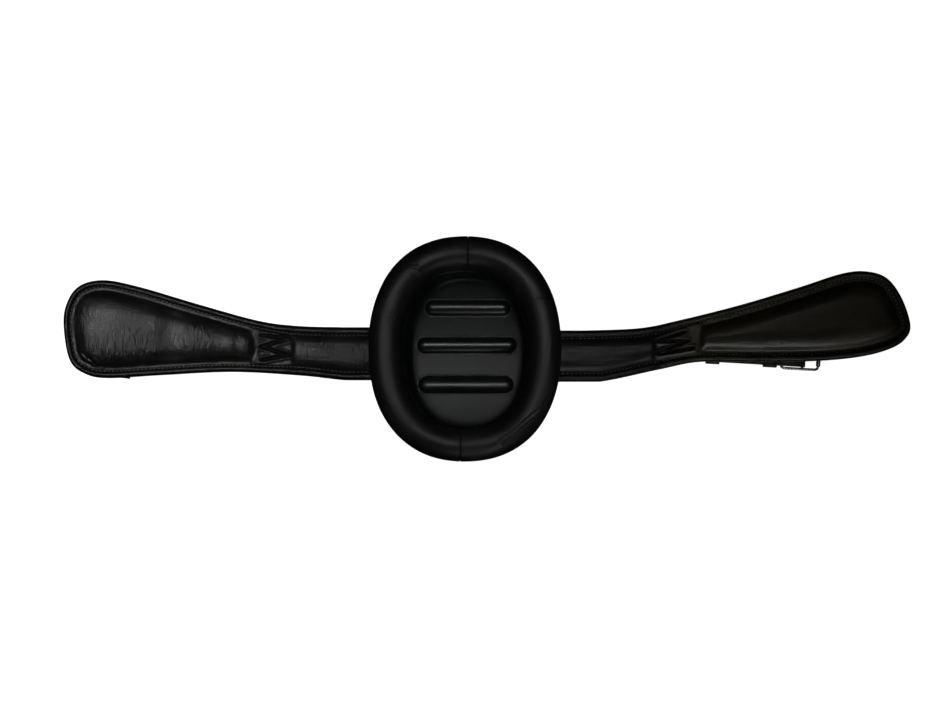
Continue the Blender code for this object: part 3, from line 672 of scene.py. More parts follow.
def swollen_pad(node):
    """The foam core as pressure shapes it, as a tree that can be asked for heights."""
    source = frame["nodes"][node]
    pad = bpy.data.objects.new(node + "_swollen", source.data.copy())
    bpy.context.collection.objects.link(pad)
    remesh = pad.modifiers.new("even", "REMESH")
    remesh.mode = "VOXEL"
    remesh.voxel_size = SWELL_VOXEL
    graph = bpy.context.evaluated_depsgraph_get()
    even = bpy.data.meshes.new_from_object(pad.evaluated_get(graph))
    pad.modifiers.clear()
    pad.data = even
    start = np.array([v.co for v in even.vertices])
    cloth = pad.modifiers.new("swell", "CLOTH")
    cloth.settings.use_pressure = True
    cloth.settings.uniform_pressure_force = 3.0
    cloth.settings.tension_stiffness = 30.0
    cloth.settings.compression_stiffness = 30.0
    cloth.settings.bending_stiffness = 4.0
    cloth.settings.effector_weights.gravity = 0.0
    for step in range(1, SWELL_FRAMES + 1):
        bpy.context.scene.frame_set(step)
    graph = bpy.context.evaluated_depsgraph_get()
    shaped = bpy.data.meshes.new_from_object(pad.evaluated_get(graph))
    end = np.array([v.co for v in shaped.vertices])
    bpy.context.scene.frame_set(1)
    pad.modifiers.clear()
    move = end - start
    length = np.linalg.norm(move, axis=1, keepdims=True)
    move *= np.minimum(1.0, SWELL_CAP / np.maximum(length, 1e-9))
    for vertex, place in zip(pad.data.vertices, start + move):
        vertex.co = place
    print("%s swelled by up to %.1f mm" % (node, 1000 * np.linalg.norm(move, axis=1).max()))
    tree = BVHTree.FromObject(pad, bpy.context.evaluated_depsgraph_get())
    bpy.data.objects.remove(pad)
    return tree


pad_trees = {}
for pad_node in ("left_wing_foam", "right_wing_foam", "left_arm_foam", "right_arm_foam"):
    pad_trees[pad_node] = swollen_pad(pad_node)

# %% [markdown]
# ## The belt's outline
# Each half of the belt has an upper and a lower edge and a rounded end. A score of points round
# them, joined by a smooth curve, is what a pattern maker would mark on the leather.
# %% Belt outline
# Points in mm, along the upper edge, round the tip and back along the lower edge.
LEFT_EDGE = [
    (-70, 19), (-110, 20), (-152, 21.2), (-190, 26), (-245, 41), (-300, 57.2), (-334, 63.5),
    (-357, 57), (-368.5, 38), (-369.5, 15), (-364, -11), (-351, -22.5), (-330, -26.9),
    (-280, -24.2), (-215, -21.2), (-152, -24.5), (-110, -28.8), (-70, -31),
]
RIGHT_EDGE = [
    (70, 16), (110, 17), (161, 19.3), (198, 26.7), (253, 40.5), (308, 57), (345, 69),
    (368, 71.6), (388, 65.5), (402, 47), (410, 22), (405, 9), (391, 0), (365, -7),
    (326, -11), (271, -12), (216, -12), (179, -18.9), (124, -30.2), (70, -34.4),
]
CURVE_STEPS = 16


def catmull_rom(points, steps):
    found = []
    for a, b, c, d in zip(points, points[1:], points[2:], points[3:]):
        for k in range(steps):
            t = k / steps
            found.append(tuple(
                0.5 * (2 * q + (r - p) * t + (2 * p - 5 * q + 4 * r - s) * t * t
                       + (3 * q - p - 3 * r + s) * t ** 3)
                for p, q, r, s in zip(a, b, c, d)))
    found.append(tuple(map(float, points[-2])))
    return found


class BeltSide:
    """One half of the belt, in millimetres."""

    def __init__(self, name, edge):
        self.name = name
        self.sign = -1.0 if name == "left" else 1.0
        joints = {j["name"]: j for j in frame["record"]["behaviour"]["joints"]}
        self.hinge = joints[name + "_arm_bend"]["pos_m"][0] / MM
        self.fold = joints[name + "_wing_fold"]["pos_m"][0] / MM
        self.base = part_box(name + "_wing_back")[0].z / MM
        self.cup_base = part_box(name + "_tab")[0].z / MM
        self.pad_start = self.inner_edge(name + "_wing_face")
        curve = catmull_rom(edge, CURVE_STEPS)
        tip = max(range(len(curve)), key=lambda i: self.sign * curve[i][0])
        self.tip = curve[tip][0]
        self.upper = curve[:tip + 1]
        self.lower = curve[tip:][::-1]

    def inner_edge(self, node):
        low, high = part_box(node)
        return (high.x if self.sign < 0 else low.x) / MM

    def edge(self, which, x):
        line = self.upper if which == "upper" else self.lower
        xs = [self.sign * p[0] for p in line]
        return float(np.interp(self.sign * x, xs, [p[1] for p in line]))

    def middle(self, x):
        return (self.edge("upper", x) + self.edge("lower", x)) / 2

    def lift(self, x):
        """The underside slopes down from the cup to the wing, with soft bends."""
        share = (abs(x) - abs(self.hinge)) / (abs(self.fold) - abs(self.hinge))
        softened = smooth_value([(-0.25, 0.0), (0.12, 0.09), (0.88, 0.91), (1.25, 1.0)], share)
        return self.cup_base + (self.base - self.cup_base) * softened


sides = {"left": BeltSide("left", LEFT_EDGE), "right": BeltSide("right", RIGHT_EDGE)}
for side in sides.values():
    print("%s belt: tip at %.0f mm, fold at %.0f mm" % (side.name, side.tip, side.fold))

# %% [markdown]
# ## Relief of the belt
# From its edge inwards the belt has a thin cut lip, a rolled bead, a stitched groove, a small
# welt, a sloping shoulder and the raised pad. All of that is one curve of height against the
# distance from the edge. On the narrow arms the same features are stretched wider.
# %% Height of the leather at a distance from the edge
WING_GROOVE = 6.4             # distance of the stitched groove from the edge, mm
ARM_GROOVE = 7.6
BORDER_SECTION = [
    (0.0, 2.1), (0.5, 2.5), (0.9, 3.0), (1.15, 5.0), (1.6, 6.6), (2.2, 7.1), (3.0, 7.3), (3.8, 7.25),
    (4.5, 6.9), (5.2, 5.5), (6.2, 3.8), (7.0, 4.2), (8.2, 4.4), (9.2, 4.35), (10.2, 4.7),
    (12.0, 6.1), (14.4, 7.8), (18.0, 9.3), (23.0, 10.3), (30.0, 10.8),
]
ARM_SECTION = BORDER_SECTION[:11] + [(7.0, 5.2), (8.0, 6.6), (10.0, 8.2), (13.0, 9.5), (17.0, 10.1)]
EDGE_SAMPLES = [0.0, 0.3, 0.6, 0.95, 1.3, 1.65, 2.0, 2.5, 3.1, 3.7, 4.3, 4.9, 5.4, 5.9, 6.4, 6.8,
                7.2, 7.8, 8.4, 9.2, 10.0, 10.7, 11.4, 12.1, 12.8, 13.5, 14.2, 15.0]

# Rise and fall of the wings' pads along the belt: x and height, in mm.
PAD_WAVES = {
    "left": [(-352, -0.6), (-344, -0.3), (-331, 0.3), (-290, -0.1), (-284, -0.3), (-269, -1.3),
             (-263, -1.1), (-253, -0.2), (-228, -0.4), (-223, -0.3), (-214, 0.15), (-209, -0.25),
             (-202, 0.1), (-196, -0.4)],
    "right": [(212, 0.1), (240, 0.2), (262, 0.0), (300, 0.25), (330, -0.1), (372, 0.0)],
}
# Strokes of the zigzag that tacks down the fold, as corners in mm.
ZIGZAGS = {
    "left": [(-187.0, 12.6), (-161.0, 9.4), (-187.7, 2.1), (-161.8, -5.5), (-187.0, -9.9)],
    "right": [(201.5, 15.4), (178.0, 7.6), (204.2, 7.4), (178.0, -4.2), (209.5, 1.0)],
}
# Fine wrinkles in the pads, and deeper puckers at the left pad's corner: two ends and depth, mm.
WRINKLES = {
    "left": [((-299, 16), (-288, 30), 0.16), ((-294, 8), (-285, 20), 0.12),
             ((-250, -6), (-243, 22), 0.12), ((-233, -6), (-229, 12), 0.14),
             ((-226, -9), (-222, 10), 0.12), ((-352, -4), (-346, -10), 0.60),
             ((-347, -8), (-340, -13), 0.70), ((-343, -13), (-334, -16), 0.50),
             ((-343, 30), (-318, 44), 0.08)],
    "right": [((286, -1), (291, 7), 0.16), ((297, -1), (301, 6), 0.14), ((309, 0), (312, 8), 0.14),
              ((318, 1), (320, 8), 0.12), ((296, 24), (291, 6), 0.12), ((276, -2), (279, 6), 0.12)],
}
PUCKER_DEPTH = 0.3            # a wrinkle deeper than this runs out to the groove
RECESS_HEIGHT = 6.0           # height of the tacked fold, mm
WELT_RISE = {"left": 1.5, "right": 0.4}
NOTCH_DEPTH = 1.5             # how far the fold pinches the border, mm
WAVE_SHARE = 1.5
SWELL_SHARE = 0.3             # how much of the pads' swelling shows through the leather
SWELL_PROBES = [(dx, dy) for dx in (-4.0, 0.0, 4.0) for dy in (-4.0, 0.0, 4.0)]
PAD_USUAL = 8.0               # height of a pad over the underside before it swells, mm
PROBE_HEIGHT = 0.2            # rays start this far over the guard, m


def groove_distance(side, x):
    """Distance of the stitched groove from the edge, which eases from arm to wing."""
    share = (abs(x) - abs(side.fold) + 4.0) / 34.0
    return ARM_GROOVE + (WING_GROOVE - ARM_GROOVE) * soft_step(share)


def tack_effect(side, x, y):
    """How far the zigzag of thread pulls the leather down, and the puffs between its strokes."""
    point = Vector((x, y))
    corners = [Vector(c) for c in ZIGZAGS[side.name]]
    gap = min(distance_to_line(point, a, b) for a, b in zip(corners, corners[1:]))
    return -2.7 * bell(gap, 1.0) + 1.2 * bell(gap - 2.7, 1.3)


def stuffing(tree, x, y, lift):
    """How far the swollen pad stands over its usual height near a point, evened out, in mm."""
    heights = []
    for dx, dy in SWELL_PROBES:
        start = Vector(((x + dx) * MM, (y + dy) * MM, PROBE_HEIGHT))
        hit = tree.ray_cast(start, Vector((0, 0, -1)))
        if hit[0] is not None:
            heights.append(hit[0].z / MM - lift - PAD_USUAL)
    return max(-1.0, min(1.5, sum(heights) / len(heights))) if len(heights) > 6 else 0.0


def relief(side, x, y, s):
    """Height in mm over the underside at (x, y), which lies s from the belt's edge."""
    u = s * WING_GROOVE / groove_distance(side, x)
    past_fold = side.sign * (x - side.fold)
    past_pad = side.sign * (x - side.pad_start)
    on_wing = soft_step((past_pad + 5.0) / 12.0)
    arm_height = smooth_value(ARM_SECTION, u)
    wing_height = smooth_value(BORDER_SECTION, s if on_wing > 0.99 else u)
    height = arm_height + (wing_height - arm_height) * on_wing
    inside = soft_step((u - WING_GROOVE) / 2.2)
    crown = soft_step((s - 9.0) / 8.0)
    recess = soft_step((past_fold + 3.5) / 5.0) * (1 - soft_step(past_pad / 6.5))
    welt = WELT_RISE[side.name] * bell(past_pad + 1.4, 1.3)
    height += inside * recess * (RECESS_HEIGHT - height + tack_effect(side, x, y) + welt)
    notch = bell(past_fold - 1.5, 2.2) * (1 - inside)
    height -= NOTCH_DEPTH * notch * soft_step(u / 1.5)
    if inside > 0 and recess < 0.5 and crown > 0 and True:
        tree = pad_trees[side.name + ("_wing_foam" if past_fold > 0 else "_arm_foam")]
        height += SWELL_SHARE * crown * stuffing(tree, x, y, side.lift(x))
    if past_fold > 0:
        drift = 2.0 * noise.noise(Vector((x, y, 9.0)) * 0.05)
        height += crown * WAVE_SHARE * smooth_value(PAD_WAVES[side.name], x + drift)
        for a, b, depth in WRINKLES[side.name]:
            gap = distance_to_line(Vector((x, y)), Vector(a), Vector(b))
            reach = inside if depth > PUCKER_DEPTH else crown
            height -= reach * depth * (bell(gap, 0.8) - 0.6 * bell(gap - 1.7, 0.8))
    height += inside * 0.12 * noise.noise(Vector((x, y, 3.0)) * 0.06)
    return height


print("relief at the pad's middle: %.1f mm" % relief(sides["left"], -300.0, 20.0, 30.0))

# %% [markdown]
# ## Laying the leather
# The belt is meshed in rings that follow its outline inwards, dense over the bead and the
# groove and wide over the pad, and meet on the middle line. That keeps every feature parallel
# to the edge, also round the wing's end. The belt bends at two joints, at the cup and at the
# wing's fold; each half is made as two pieces, which meet on the arm between them.
# %% Belt leather
STATION_GAP = 1.6             # spacing of stations along the belt, mm
TIP_REACH = 33.0              # the rings close on a point this far in from the wing's tip
MIDDLE_STEPS = 12             # rings between the last edge sample and the middle line
LEAST_LEAN = 0.35             # least share of a step along a ring's line that counts as inwards
ARM_BEND_SPREAD = 9.0         # half the gap between the two points taken either side of each joint, mm
WING_FOLD_SPREAD = 10.0
# The underside needs fewer rings: some of the outer ones, then every second one.
LAST_SAMPLE = len(EDGE_SAMPLES) - 1
UNDER_RINGS = [0, 1, 2, 4, 8, 12, 13, 14, 15, 16, 18, 22]
UNDER_RINGS += range(LAST_SAMPLE, LAST_SAMPLE + MIDDLE_STEPS, 2)
UNDER_RINGS.append(LAST_SAMPLE + MIDDLE_STEPS)


def stations(side, start, end):
    """Lines of (edge point, target on the middle line) in mm: one round the tip, or two."""
    closed = end is None
    far = side.tip - side.sign * TIP_REACH if closed else end
    count = max(2, int(abs(far - start) / STATION_GAP))
    xs = [start + (far - start) * i / count for i in range(count + 1)]
    found = []
    for x in xs:
        found.append((Vector((x, side.edge("upper", x))), Vector((x, side.middle(x)))))
    if closed:
        target = Vector((far, side.middle(far)))
        loop = [Vector(p) for p in side.upper if side.sign * (p[0] - far) > 0.3]
        loop += [Vector(p) for p in side.lower[::-1] if side.sign * (p[0] - far) > 0.3]
        lengths = [0.0]
        for a, b in zip(loop, loop[1:]):
            lengths.append(lengths[-1] + (b - a).length)
        turns = int(lengths[-1] / STATION_GAP)
        for i in range(1, turns):
            at = lengths[-1] * i / turns
            found.append((Vector((float(np.interp(at, lengths, [p.x for p in loop])),
                                  float(np.interp(at, lengths, [p.y for p in loop])))), target))
    lower = []
    for x in xs:
        lower.append((Vector((x, side.edge("lower", x))), Vector((x, side.middle(x)))))
    return [found + lower[::-1]] if closed else [found, lower[::-1]]


def edge_normal(line, i):
    """Inward normal of an outline, whichever way it is walked."""
    before = line[max(i - 1, 0)][0]
    after = line[min(i + 1, len(line) - 1)][0]
    along = (after - before).normalized()
    normal = Vector((-along.y, along.x))
    inward = line[i][1] - line[i][0]
    return normal if normal.dot(inward) > 0 else -normal


def belt_surface(side, line):
    """A column of (point, distance from the edge) for each station, from edge to middle."""
    rows = []
    for i, (edge, target) in enumerate(line):
        normal = edge_normal(line, i)
        whole = (target - edge).length
        direction = (target - edge) / whole
        lean = max(LEAST_LEAN, direction.dot(normal))
        column = []
        stretch = groove_distance(side, edge.x) / WING_GROOVE
        last = min(EDGE_SAMPLES[-1] * stretch / lean, whole * 0.82)
        for s in EDGE_SAMPLES:
            column.append((edge + direction * (s / EDGE_SAMPLES[-1] * last),
                           s / EDGE_SAMPLES[-1] * last * lean))
        deepest = (side.edge("upper", target.x) - side.edge("lower", target.x)) / 2
        for k in range(1, MIDDLE_STEPS + 1):
            way = last + (whole - last) * k / MIDDLE_STEPS
            share = k / MIDDLE_STEPS
            column.append((edge + direction * way, last * lean * (1 - share) + deepest * share))
        rows.append(column)
    return rows


def belt_piece(name, side, start, end, material, stands_for):
    points, faces, index_of = [], [], {}

    def index(x, y, z):
        key = (round(x, 3), round(y, 3), round(z, 3))
        if key not in index_of:
            index_of[key] = len(points)
            points.append(Vector((x, y, z)) * MM)
        return index_of[key]

    def sheet_of(height_at, samples):
        grid = []
        for column in samples:
            grid.append([index(p.x, p.y, height_at(p.x, p.y, s)) for p, s in column])
        for a, b in zip(grid, grid[1:]):
            for k in range(len(a) - 1):
                faces.append((a[k], a[k + 1], b[k + 1], b[k]))
        return grid

    def top(x, y, s):
        return side.lift(x) + relief(side, x, y, s)

    def under(x, y, s):
        return side.lift(x) + 0.35 * bell(s, 0.7) + 0.35 * bell(s - groove_distance(side, x), 0.9)

    for line in stations(side, start, end):
        rows = belt_surface(side, line)
        upper_grid = sheet_of(top, rows)
        lower_grid = sheet_of(under, [[column[k] for k in UNDER_RINGS] for column in rows])
        for i in range(len(line) - 1):
            faces.append((upper_grid[i][0], upper_grid[i + 1][0],
                          lower_grid[i + 1][0], lower_grid[i][0]))
    bm = bmesh.new()
    verts = [bm.verts.new(p) for p in points]
    for face in faces:
        ring = list(dict.fromkeys(face))
        if len(ring) > 2:
            try:
                bm.faces.new([verts[i] for i in ring])
            except ValueError:
                pass
    open_edges = [e for e in bm.edges if len(e.link_faces) == 1]
    bmesh.ops.holes_fill(bm, edges=open_edges, sides=0)
    left_open = sum(1 for e in bm.edges if len(e.link_faces) != 2)
    bm.verts.index_update()
    final = [[v.index for v in f.verts] for f in bm.faces]
    places = [v.co.copy() for v in bm.verts]
    bm.free()
    print("%s: %d open edges" % (name, left_open))
    piece = make_piece(name, places, final, material, stands_for, sharp=55)
    return piece


def join_at(x, side, spread):
    """Two points on the belt, before and after a joint."""
    near = Vector(((x - side.sign * spread) * MM, 0.0, side.lift(x) * MM))
    far = Vector(((x + side.sign * spread) * MM, 0.0, side.lift(x) * MM))
    return near, far


ARM_CUT = 36.0                # the two pieces of each side meet this far out from the cup's hinge
CUP_ROOT = 76.0               # the belt starts under the roll, this far from the middle
belt_cut = {}
for side in sides.values():
    n = side.name
    belt_cut[n] = side.hinge + side.sign * ARM_CUT
    side_leather = black_leather if n == "left" else brown_black_leather
    arm_nodes = [n + "_arm" + part for part in
                 ("_back", "_foam", "_face", "_bead_upper", "_bead_lower")]
    wing_nodes = [n + "_wing" + part for part in ("_back", "_foam", "_face", "_bead")]
    inner = belt_piece(n + "_inner_belt", side, side.sign * CUP_ROOT, belt_cut[n], side_leather,
                       [n + "_tab"] + arm_nodes)
    n + "_arm"
    join_at(side.hinge, side, ARM_BEND_SPREAD)
    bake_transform(inner)
    outer = belt_piece(n + "_outer_belt", side, belt_cut[n], None, side_leather,
                       wing_nodes + [n + "_tack_panel"])
    n + "_arm"
    n + "_wing"
    join_at(side.fold, side, WING_FOLD_SPREAD)
    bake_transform(outer)

# %% [markdown]
# ## Stitches
# A stitch is a short loop of thread that rises from one hole and dives into the next. Each is
# modelled as a little bent capsule, and a row of them follows a line at an even pitch.
# %% A row of stitches
STITCH_PITCH = 3.8
STITCH_LENGTH = 2.3
THREAD_RADIUS = 0.5
STITCH_RINGS = 7
STITCH_SIDES = 7
STITCH_RISE = 0.30            # the thread's middle stands this far over the leather, mm
STITCH_DIVE = 0.65            # and its ends dive by this much, mm
SEAM_TOP = 4.1                # height of the groove's floor over the underside, mm
SEAM_UNDER = 0.8
AHEAD = 0.3                   # a stitch's direction is taken from a point this far on, mm


def stitch_row(path, heights, flip=1.0):
    """Points and faces of stitches along a path of (x, y) in mm; heights gives z at a point."""
    def point_at(at):
        return (float(np.interp(at, lengths, [p.x for p in path])),
                float(np.interp(at, lengths, [p.y for p in path])))

    lengths = [0.0]
    for a, b in zip(path, path[1:]):
        lengths.append(lengths[-1] + (b - a).length)
    count = int(lengths[-1] / STITCH_PITCH)
    points, faces = [], []
    for n in range(count):
        middle = (n + 0.5) * lengths[-1] / count
        first = len(points)
        for r in range(STITCH_RINGS):
            t = r / (STITCH_RINGS - 1) * 2 - 1
            at = middle + t * STITCH_LENGTH / 2
            x, y = point_at(at)
            x2, y2 = point_at(at + AHEAD)
            along = Vector((x2 - x, y2 - y, 0.0))
            along = along.normalized() if along.length > 1e-6 else Vector((1, 0, 0))
            across = Vector((-along.y, along.x, 0.0))
            thick = THREAD_RADIUS * math.sqrt(max(0.04, 1 - 0.75 * t ** 4))
            z = heights(x, y) + flip * (STITCH_RISE - STITCH_DIVE * t ** 4)
            for k in range(STITCH_SIDES):
                angle = 2 * math.pi * k / STITCH_SIDES
                points.append((Vector((x, y, z)) + across * thick * math.cos(angle)
                               + Vector((0, 0, 1)) * thick * math.sin(angle)) * MM)
        for face in grid_faces(STITCH_RINGS, STITCH_SIDES, wrap_columns=True):
            faces.append(tuple(first + i for i in face))
        faces.append(tuple(first + i for i in range(STITCH_SIDES)))
        faces.append(tuple(len(points) - STITCH_SIDES + i for i in range(STITCH_SIDES)))
    return points, faces


def groove_path(side, line):
    path = []
    for i, (edge, target) in enumerate(line):
        direction = (target - edge).normalized()
        lean = max(LEAST_LEAN, direction.dot(edge_normal(line, i)))
        path.append(edge + direction * groove_distance(side, edge.x) / lean)
    return path


def merged(rows):
    points, faces = [], []
    for row_points, row_faces in rows:
        faces += [tuple(i + len(points) for i in f) for f in row_faces]
        points += row_points
    return points, faces


for side in sides.values():
    n = side.name
    for part, start, end in (("inner", side.sign * CUP_ROOT, belt_cut[n]),
                             ("outer", belt_cut[n], None)):
        rows = []
        for line in stations(side, start, end):
            path = groove_path(side, line)
            rows.append(stitch_row(path, lambda x, y: side.lift(x) + SEAM_TOP))
            rows.append(stitch_row(path, lambda x, y: side.lift(x) + SEAM_UNDER, -1.0))
        points, faces = merged(rows)
        seam = make_piece("%s_%s_stitches" % (n, part), points, faces, thread)
        if part == "inner":
            n + "_arm"
            join_at(side.hinge, side, ARM_BEND_SPREAD)
            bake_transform(seam)
        else:
            n + "_arm"
            n + "_wing"
            join_at(side.fold, side, WING_FOLD_SPREAD)
            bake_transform(seam)

# %% [markdown]
# ## The zigzag tack
# At each fold a zigzag of darker thread flattens the padding, so that the belt creases there.
# Its stitches lie in the troughs that the relief pressed for them.
# %% Zigzag stitches
TACK_STEPS = 12               # points along each stroke
TACK_INSET = 16.0             # the strokes lie well inside the border, mm
TACK_SINK = 0.05


for side in sides.values():
    corners = [Vector(c) for c in ZIGZAGS[side.name]]
    rows = []
    for a, b in zip(corners, corners[1:]):
        steps = [a + (b - a) * k / TACK_STEPS for k in range(TACK_STEPS + 1)]
        rows.append(stitch_row(steps, lambda x, y: side.lift(x) + relief(side, x, y, TACK_INSET)
                               - TACK_SINK))
    points, faces = merged(rows)
    tack = make_piece(side.name + "_tack_stitches", points, faces, dark_thread,
                      (side.name + "_tack_thread",))
    join_at(side.fold, side, WING_FOLD_SPREAD)
    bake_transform(tack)

# %% [markdown]
# ## Straps
# A strap is a flat band whose edges have been skived round. It is swept as a small rounded
# section along a path in its own upright plane, so the same helper makes the plain billet, the
# buckle strap that folds round the buckle's bar, and the sewn patches.
# %% Strap helper
STRAP_CORNER = 0.55
CORNER_TURNS = (0, 30, 60, 90)


def strap_section(width, thick):
    """Rounded flat section: (across, height) points, anticlockwise, in mm."""
    half, r = width / 2, min(STRAP_CORNER, thick * 0.48)
    section = []
    for cx, cz, first in ((half - r, thick - r, 0), (-half + r, thick - r, 90),
                          (-half + r, r, 180), (half - r, r, 270)):
        for step in CORNER_TURNS:
            angle = math.radians(first + step)
            section.append((cx + r * math.cos(angle), cz + r * math.sin(angle)))
    return section


def strap_points(path, width_at, thick, place):
    """Sweep the section along (x, z) path points; place turns strap space into metres."""
    points = []
    for i, (x, z) in enumerate(path):
        x0, z0 = path[max(i - 1, 0)]
        x1, z1 = path[min(i + 1, len(path) - 1)]
        along = Vector((x1 - x0, z1 - z0)).normalized()
        over = Vector((-along.y, along.x))
        for across, height in strap_section(width_at(i / (len(path) - 1)), thick):
            points.append(place @ (Vector((x + over.x * height, across, z + over.y * height)) * MM))
    around = 4 * len(CORNER_TURNS)
    faces = grid_faces(len(path), around, wrap_columns=True)
    faces.append(tuple(range(around)))
    faces.append(tuple(range(len(points) - around, len(points))))
    return points, faces


def frame_of(joint_name):
    """A strap's own frame: x along the strap, y along the joint's axis, z up, at the joint."""
    joint = next(j for j in frame["record"]["behaviour"]["joints"] if j["name"] == joint_name)
    axis = Vector(joint["axis"])
    turn = math.atan2(-axis.x, axis.y)
    return Matrix.Translation(Vector(joint["pos_m"])) @ Matrix.Rotation(turn, 4, "Z")


def even_path(length, z, step=2.0, start=0.0):
    count = max(2, int(length / step))
    return [(start + length * i / count, z) for i in range(count + 1)]


billet_place = frame_of("billet_unfold")
strap_place = frame_of("buckle_strap_swing")
print("straps placed")

# %% Billet
STRAP_WIDTH = 25.0
STRAP_THICK = 2.9
BILLET_LENGTH = 157.0
BILLET_POINT = 12.0           # length of the billet's pointed end
BILLET_UNDERSIDE = -3.1
TIP_NARROWING = 0.66


def full_width(share):
    return STRAP_WIDTH


def billet_width(share):
    left = (1 - share) * BILLET_LENGTH
    taper = max(0.0, 1 - left / BILLET_POINT)
    return STRAP_WIDTH * (1 - TIP_NARROWING * taper ** 1.7)


billet_points, billet_faces = strap_points(even_path(BILLET_LENGTH, BILLET_UNDERSIDE),
                                           billet_width, STRAP_THICK, billet_place)
billet = make_piece("billet_leather", billet_points, billet_faces, strap_leather,
                    ("billet_strap",), sharp=60)

# %% [markdown]
# The billet's holes are real holes: a row of round cutters is subtracted from the leather with
# an exact Boolean, which is then applied.
# %% Punch the billet
HOLE_RADIUS = 2.25
HOLE_PITCH = 20.0
HOLE_COUNT = 5
FIRST_HOLE = 28.0             # from the billet's tip
PUNCH_SIDES = 24
PUNCH_ENDS = (-6.0, 2.0)      # the cutters reach past both faces of the leather
punch_points, punch_faces = [], []
for k in range(HOLE_COUNT):
    x = BILLET_LENGTH - FIRST_HOLE - k * HOLE_PITCH
    first = len(punch_points)
    for z in PUNCH_ENDS:
        for i in range(PUNCH_SIDES):
            a = 2 * math.pi * i / PUNCH_SIDES
            punch_points.append(billet_place @ (Vector((x + HOLE_RADIUS * math.cos(a),
                                                        HOLE_RADIUS * math.sin(a), z)) * MM))
    punch_faces += [tuple(first + i for i in f)
                    for f in grid_faces(2, PUNCH_SIDES, wrap_columns=True)]
    for rim in (first, first + PUNCH_SIDES):
        punch_faces.append(tuple(range(rim, rim + PUNCH_SIDES)))
punch = make_piece("punch", punch_points, punch_faces, strap_leather)
cut = billet.modifiers.new("holes", "BOOLEAN")
cut.operation = "DIFFERENCE"
cut.object = punch
graph = bpy.context.evaluated_depsgraph_get()
punched = bpy.data.meshes.new_from_object(billet.evaluated_get(graph))
billet.modifiers.clear()
billet.data = punched
punched.set_sharp_from_angle(angle=math.radians(40))
bpy.data.objects.remove(punch)
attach(billet, "billet")
print("billet: %d points with %d holes" % (len(punched.vertices), HOLE_COUNT))

# %% Sewn patch that anchors the billet
PATCH_TURN = math.radians(12.0)
PATCH_START = 1.6
PATCH_LENGTH = 37.0
PATCH_UNDERSIDE = 0.2
PATCH_SKEW_REACH = 12.0       # the front edge is cut parallel to the billet's fold
anchor_place = billet_place @ Matrix.Rotation(-PATCH_TURN, 4, "Z")
patch_points, patch_faces = strap_points(
    even_path(PATCH_LENGTH, PATCH_UNDERSIDE, start=PATCH_START), full_width, STRAP_THICK,
    anchor_place)
for point in patch_points:
    local = anchor_place.inverted() @ point
    near = max(0.0, 1 - (local.x / MM - PATCH_START) / PATCH_SKEW_REACH)
    local.x -= math.tan(PATCH_TURN) * local.y * near
    point.xyz = anchor_place @ local
make_piece("billet_patch", patch_points, patch_faces, strap_leather,
           ("billet_anchor",), "left_wing", sharp=60)

# %% [markdown]
# ## Buckle strap
# The strap is a band folded round the buckle's middle bar and sewn back on itself. In the real
# fold there is a slot for the tongue, so the loop round the bar is two narrow bands.
# %% Buckle strap, folded round the bar
BAR_AT = 98.0                 # the buckle's bar, from the strap's joint
BAR_DROP = 1.7
LAYER = 1.42                  # thickness of each layer of the folded band
UPPER_LEVEL = 1.55            # undersides of the two layers
LOWER_LEVEL = 0.02
SLOT_HALF = 2.3
LOOP_RADIUS = 1.62
LOOP_THICK = 1.25
LOOP_STEP = 10.0              # degrees between points of the loop


def folded_path(first, last):
    """The band's inner line round the bar, from step first to step last, over the top."""
    path = []
    for k in range(first, last + 1):
        angle = math.radians(90 - LOOP_STEP * k)
        path.append((BAR_AT + LOOP_RADIUS * math.cos(angle),
                     -BAR_DROP + LOOP_RADIUS * math.sin(angle)))
    return path


strap_rows = [
    strap_points(even_path(BAR_AT - 7.0, UPPER_LEVEL), full_width, LAYER, strap_place),
    strap_points(even_path(BAR_AT - 13.0, LOWER_LEVEL), full_width, LAYER, strap_place),
]
band = STRAP_WIDTH / 2 - SLOT_HALF
loop_path = ([(BAR_AT - 7.2, UPPER_LEVEL), (BAR_AT - 5.0, 1.45), (BAR_AT - 2.5, 0.6)]
             + folded_path(2, 18)
             + [(BAR_AT - 3.6, -2.2), (BAR_AT - 6.0, -1.2), (BAR_AT - 9.0, -0.2)])
for sign in (1, -1):
    shift = Matrix.Translation(Vector((0, sign * (SLOT_HALF + band / 2) * MM, 0)))
    strap_rows.append(strap_points(loop_path, lambda share: band, LOOP_THICK,
                                   strap_place @ shift))
strap_all = merged(strap_rows)
make_piece("buckle_strap_leather", strap_all[0], strap_all[1], strap_leather,
           ("buckle_strap",), "buckle_strap", sharp=60)

# %% Sewn patch at the buckle strap's root
ROOT_START = -23.0
ROOT_LENGTH = 21.5
ROOT_UNDERSIDE = 1.85
root_points, root_faces = strap_points(even_path(ROOT_LENGTH, ROOT_UNDERSIDE, start=ROOT_START),
                                       full_width, STRAP_THICK, strap_place)
make_piece("buckle_strap_patch", root_points, root_faces, strap_leather,
           ("buckle_strap_anchor",), "right_wing", sharp=60)

# %% [markdown]
# ## Keepers
# A keeper is a narrow loop of leather with rounded corners. Its cross-section is a rounded
# frame seen along the strap, given a little width and soft edges.
# %% Keepers
KEEPER_WIDTH = 12.5
KEEPER_SIDE = 14.5            # half its outer width, across the strap
KEEPER_BOTTOM = -5.65
KEEPER_TOP = 4.75
KEEPER_CORNER = 2.2           # outer and inner radius of its corners
KEEPER_INNER = 0.8
KEEPER_SOFT = 0.4             # bevel of its edges


